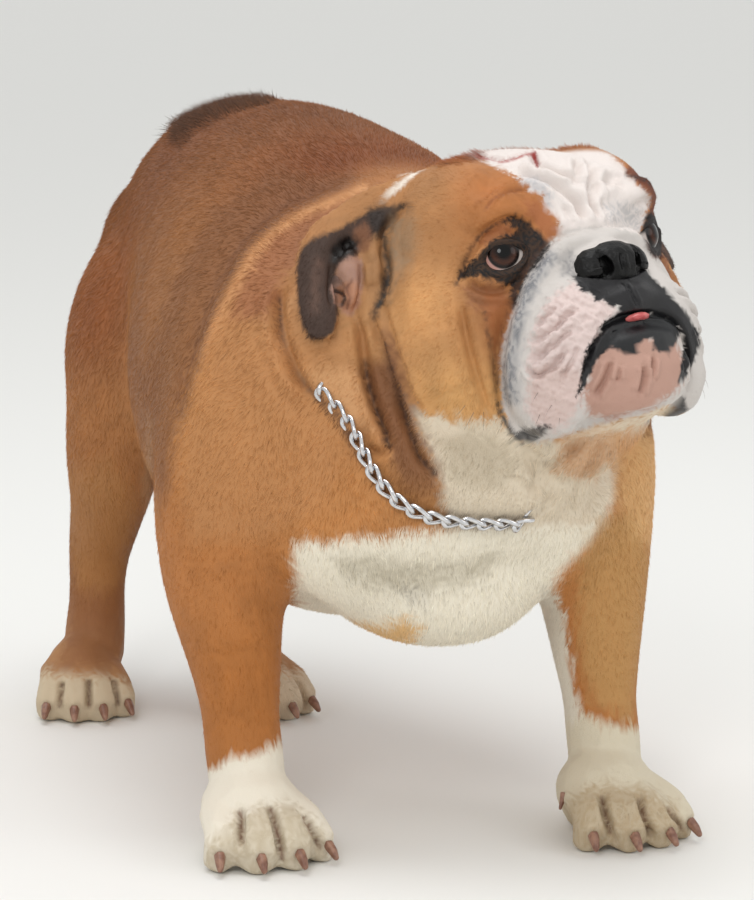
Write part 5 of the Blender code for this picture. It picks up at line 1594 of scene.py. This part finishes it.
# Whiskers: their roots on the photo, their lean across and down in the picture, and their length
whiskers = {
    "thickness": 0.00016, "sides": 4, "steps": 5, "droop": 0.25,
    "cheek": [((474, 412), (-0.5, 1.0), 0.020), ((484, 411), (-0.15, 1.0), 0.018),
              ((466, 405), (-0.7, 0.8), 0.014)],
    "flew": [((538, 392), (-0.5, 0.8), 0.010), ((552, 404), (-0.2, 1.0), 0.010),
             ((540, 414), (-0.4, 1.0), 0.010), ((560, 414), (-0.1, 1.0), 0.009)],
}


def makeWhiskers(tree):
    ring = np.linspace(0, 2 * math.pi, whiskers["sides"], endpoint=False)
    right, up = np.array(viewTurn @ Vector((1, 0, 0))), np.array(viewTurn @ Vector((0, 1, 0)))
    flip = np.array(headTurn) @ np.diag((-1.0, 1.0, 1.0)) @ np.array(headTurn).T
    points, faces = [], []
    for group in ("cheek", "flew"):
        for pixel, (across, down), length in whiskers[group]:
            place, normal = tree.ray_cast(cameraPlace, pixelRay(*pixel))[:2]
            if place is None:
                continue
            way = right * across - up * down
            other, otherNormal = tree.find_nearest(headFrame @ Matrix.Diagonal((-1, 1, 1, 1))
                                                   @ headInverse @ place)[:2]
            for spot, out, lean in ((place, normal, way), (other, otherNormal, flip @ way)):
                out, lean = np.array(out), lean / np.linalg.norm(lean)
                lean = lean - out * (lean @ out) * 0.8
                side = np.cross(out, lean)
                side /= np.linalg.norm(side)
                first = len(points) * whiskers["sides"]
                for k in range(whiskers["steps"] + 1):
                    t = k / whiskers["steps"]
                    bend = out * (0.55 * t - whiskers["droop"] * t * t) + lean * (0.75 * t)
                    centre = np.array(spot) - out * 0.0006 + bend * length
                    thick = whiskers["thickness"] * (1 - 0.9 * t)
                    points.append(centre + thick * (np.cos(ring)[:, None] * side
                                                    + np.sin(ring)[:, None] * out))
                    for j in range(whiskers["sides"]):
                        if k < whiskers["steps"]:
                            a = first + k * whiskers["sides"]
                            n = (j + 1) % whiskers["sides"]
                            above = a + whiskers["sides"]
                            faces.append((a + j, a + n, above + n, above + j))
                last = first + whiskers["steps"] * whiskers["sides"]
                faces.append(tuple(last + j for j in range(whiskers["sides"])))
                faces.append(tuple(first + j for j in reversed(range(whiskers["sides"]))))
    return meshFrom("whiskers", np.concatenate(points), np.array(faces))


whiskerFinish = simpleFinish("whisker", (0.2, 0.17, 0.15), 0.4)
mottled(whiskerFinish, 90.0, [(70, 56, 46), (150, 138, 128)])
dress(makeWhiskers(treeOf(skin)), whiskerFinish, "coat")
stage("whiskers made")

# Plain pale floor and soft light
studio = {
    "floorRadius": 30.0, "floorColour": (0.82, 0.82, 0.80), "worldColour": (1.0, 1.0, 0.99),
    "worldStrength": 0.82,
    "lamps": {
        "key": {"place": (-1.5, -2.2, 1.9), "size": 1.0, "power": 19.0},
        "fill": {"place": (1.7, -1.6, 1.3), "size": 1.4, "power": 6.0},
        "top": {"place": (-0.1, -0.1, 2.6), "size": 1.3, "power": 19.0},
    },
    "lampAim": (0.0, 0.0, 0.2),
}


def makeStudio():
    deselectAll()
    bpy.ops.mesh.primitive_circle_add(vertices=96, radius=studio["floorRadius"], fill_type="NGON")
    floor = bpy.context.active_object
    floor.name = "floor"
    floor.data.materials.append(simpleFinish("pale floor", studio["floorColour"], 0.7))
    world = bpy.data.worlds.new("studio")
    world.use_nodes = True
    sky = world.node_tree.nodes["Background"]
    sky.inputs["Color"].default_value = (*studio["worldColour"], 1)
    sky.inputs["Strength"].default_value = studio["worldStrength"]
    bpy.context.scene.world = world
    for name, lamp in studio["lamps"].items():
        data = bpy.data.lights.new(name, "AREA")
        data.shape = "DISK"
        data.size = lamp["size"]
        data.energy = lamp["power"]
        light = bpy.data.objects.new(name, data)
        bpy.context.scene.collection.objects.link(light)
        light.location = lamp["place"]
        way = Vector(studio["lampAim"]) - light.location
        light.rotation_euler = way.to_track_quat("-Z", "Y").to_euler()


makeStudio()
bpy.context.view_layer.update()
bpy.context.scene.view_settings.view_transform = "Standard"
stage("done")
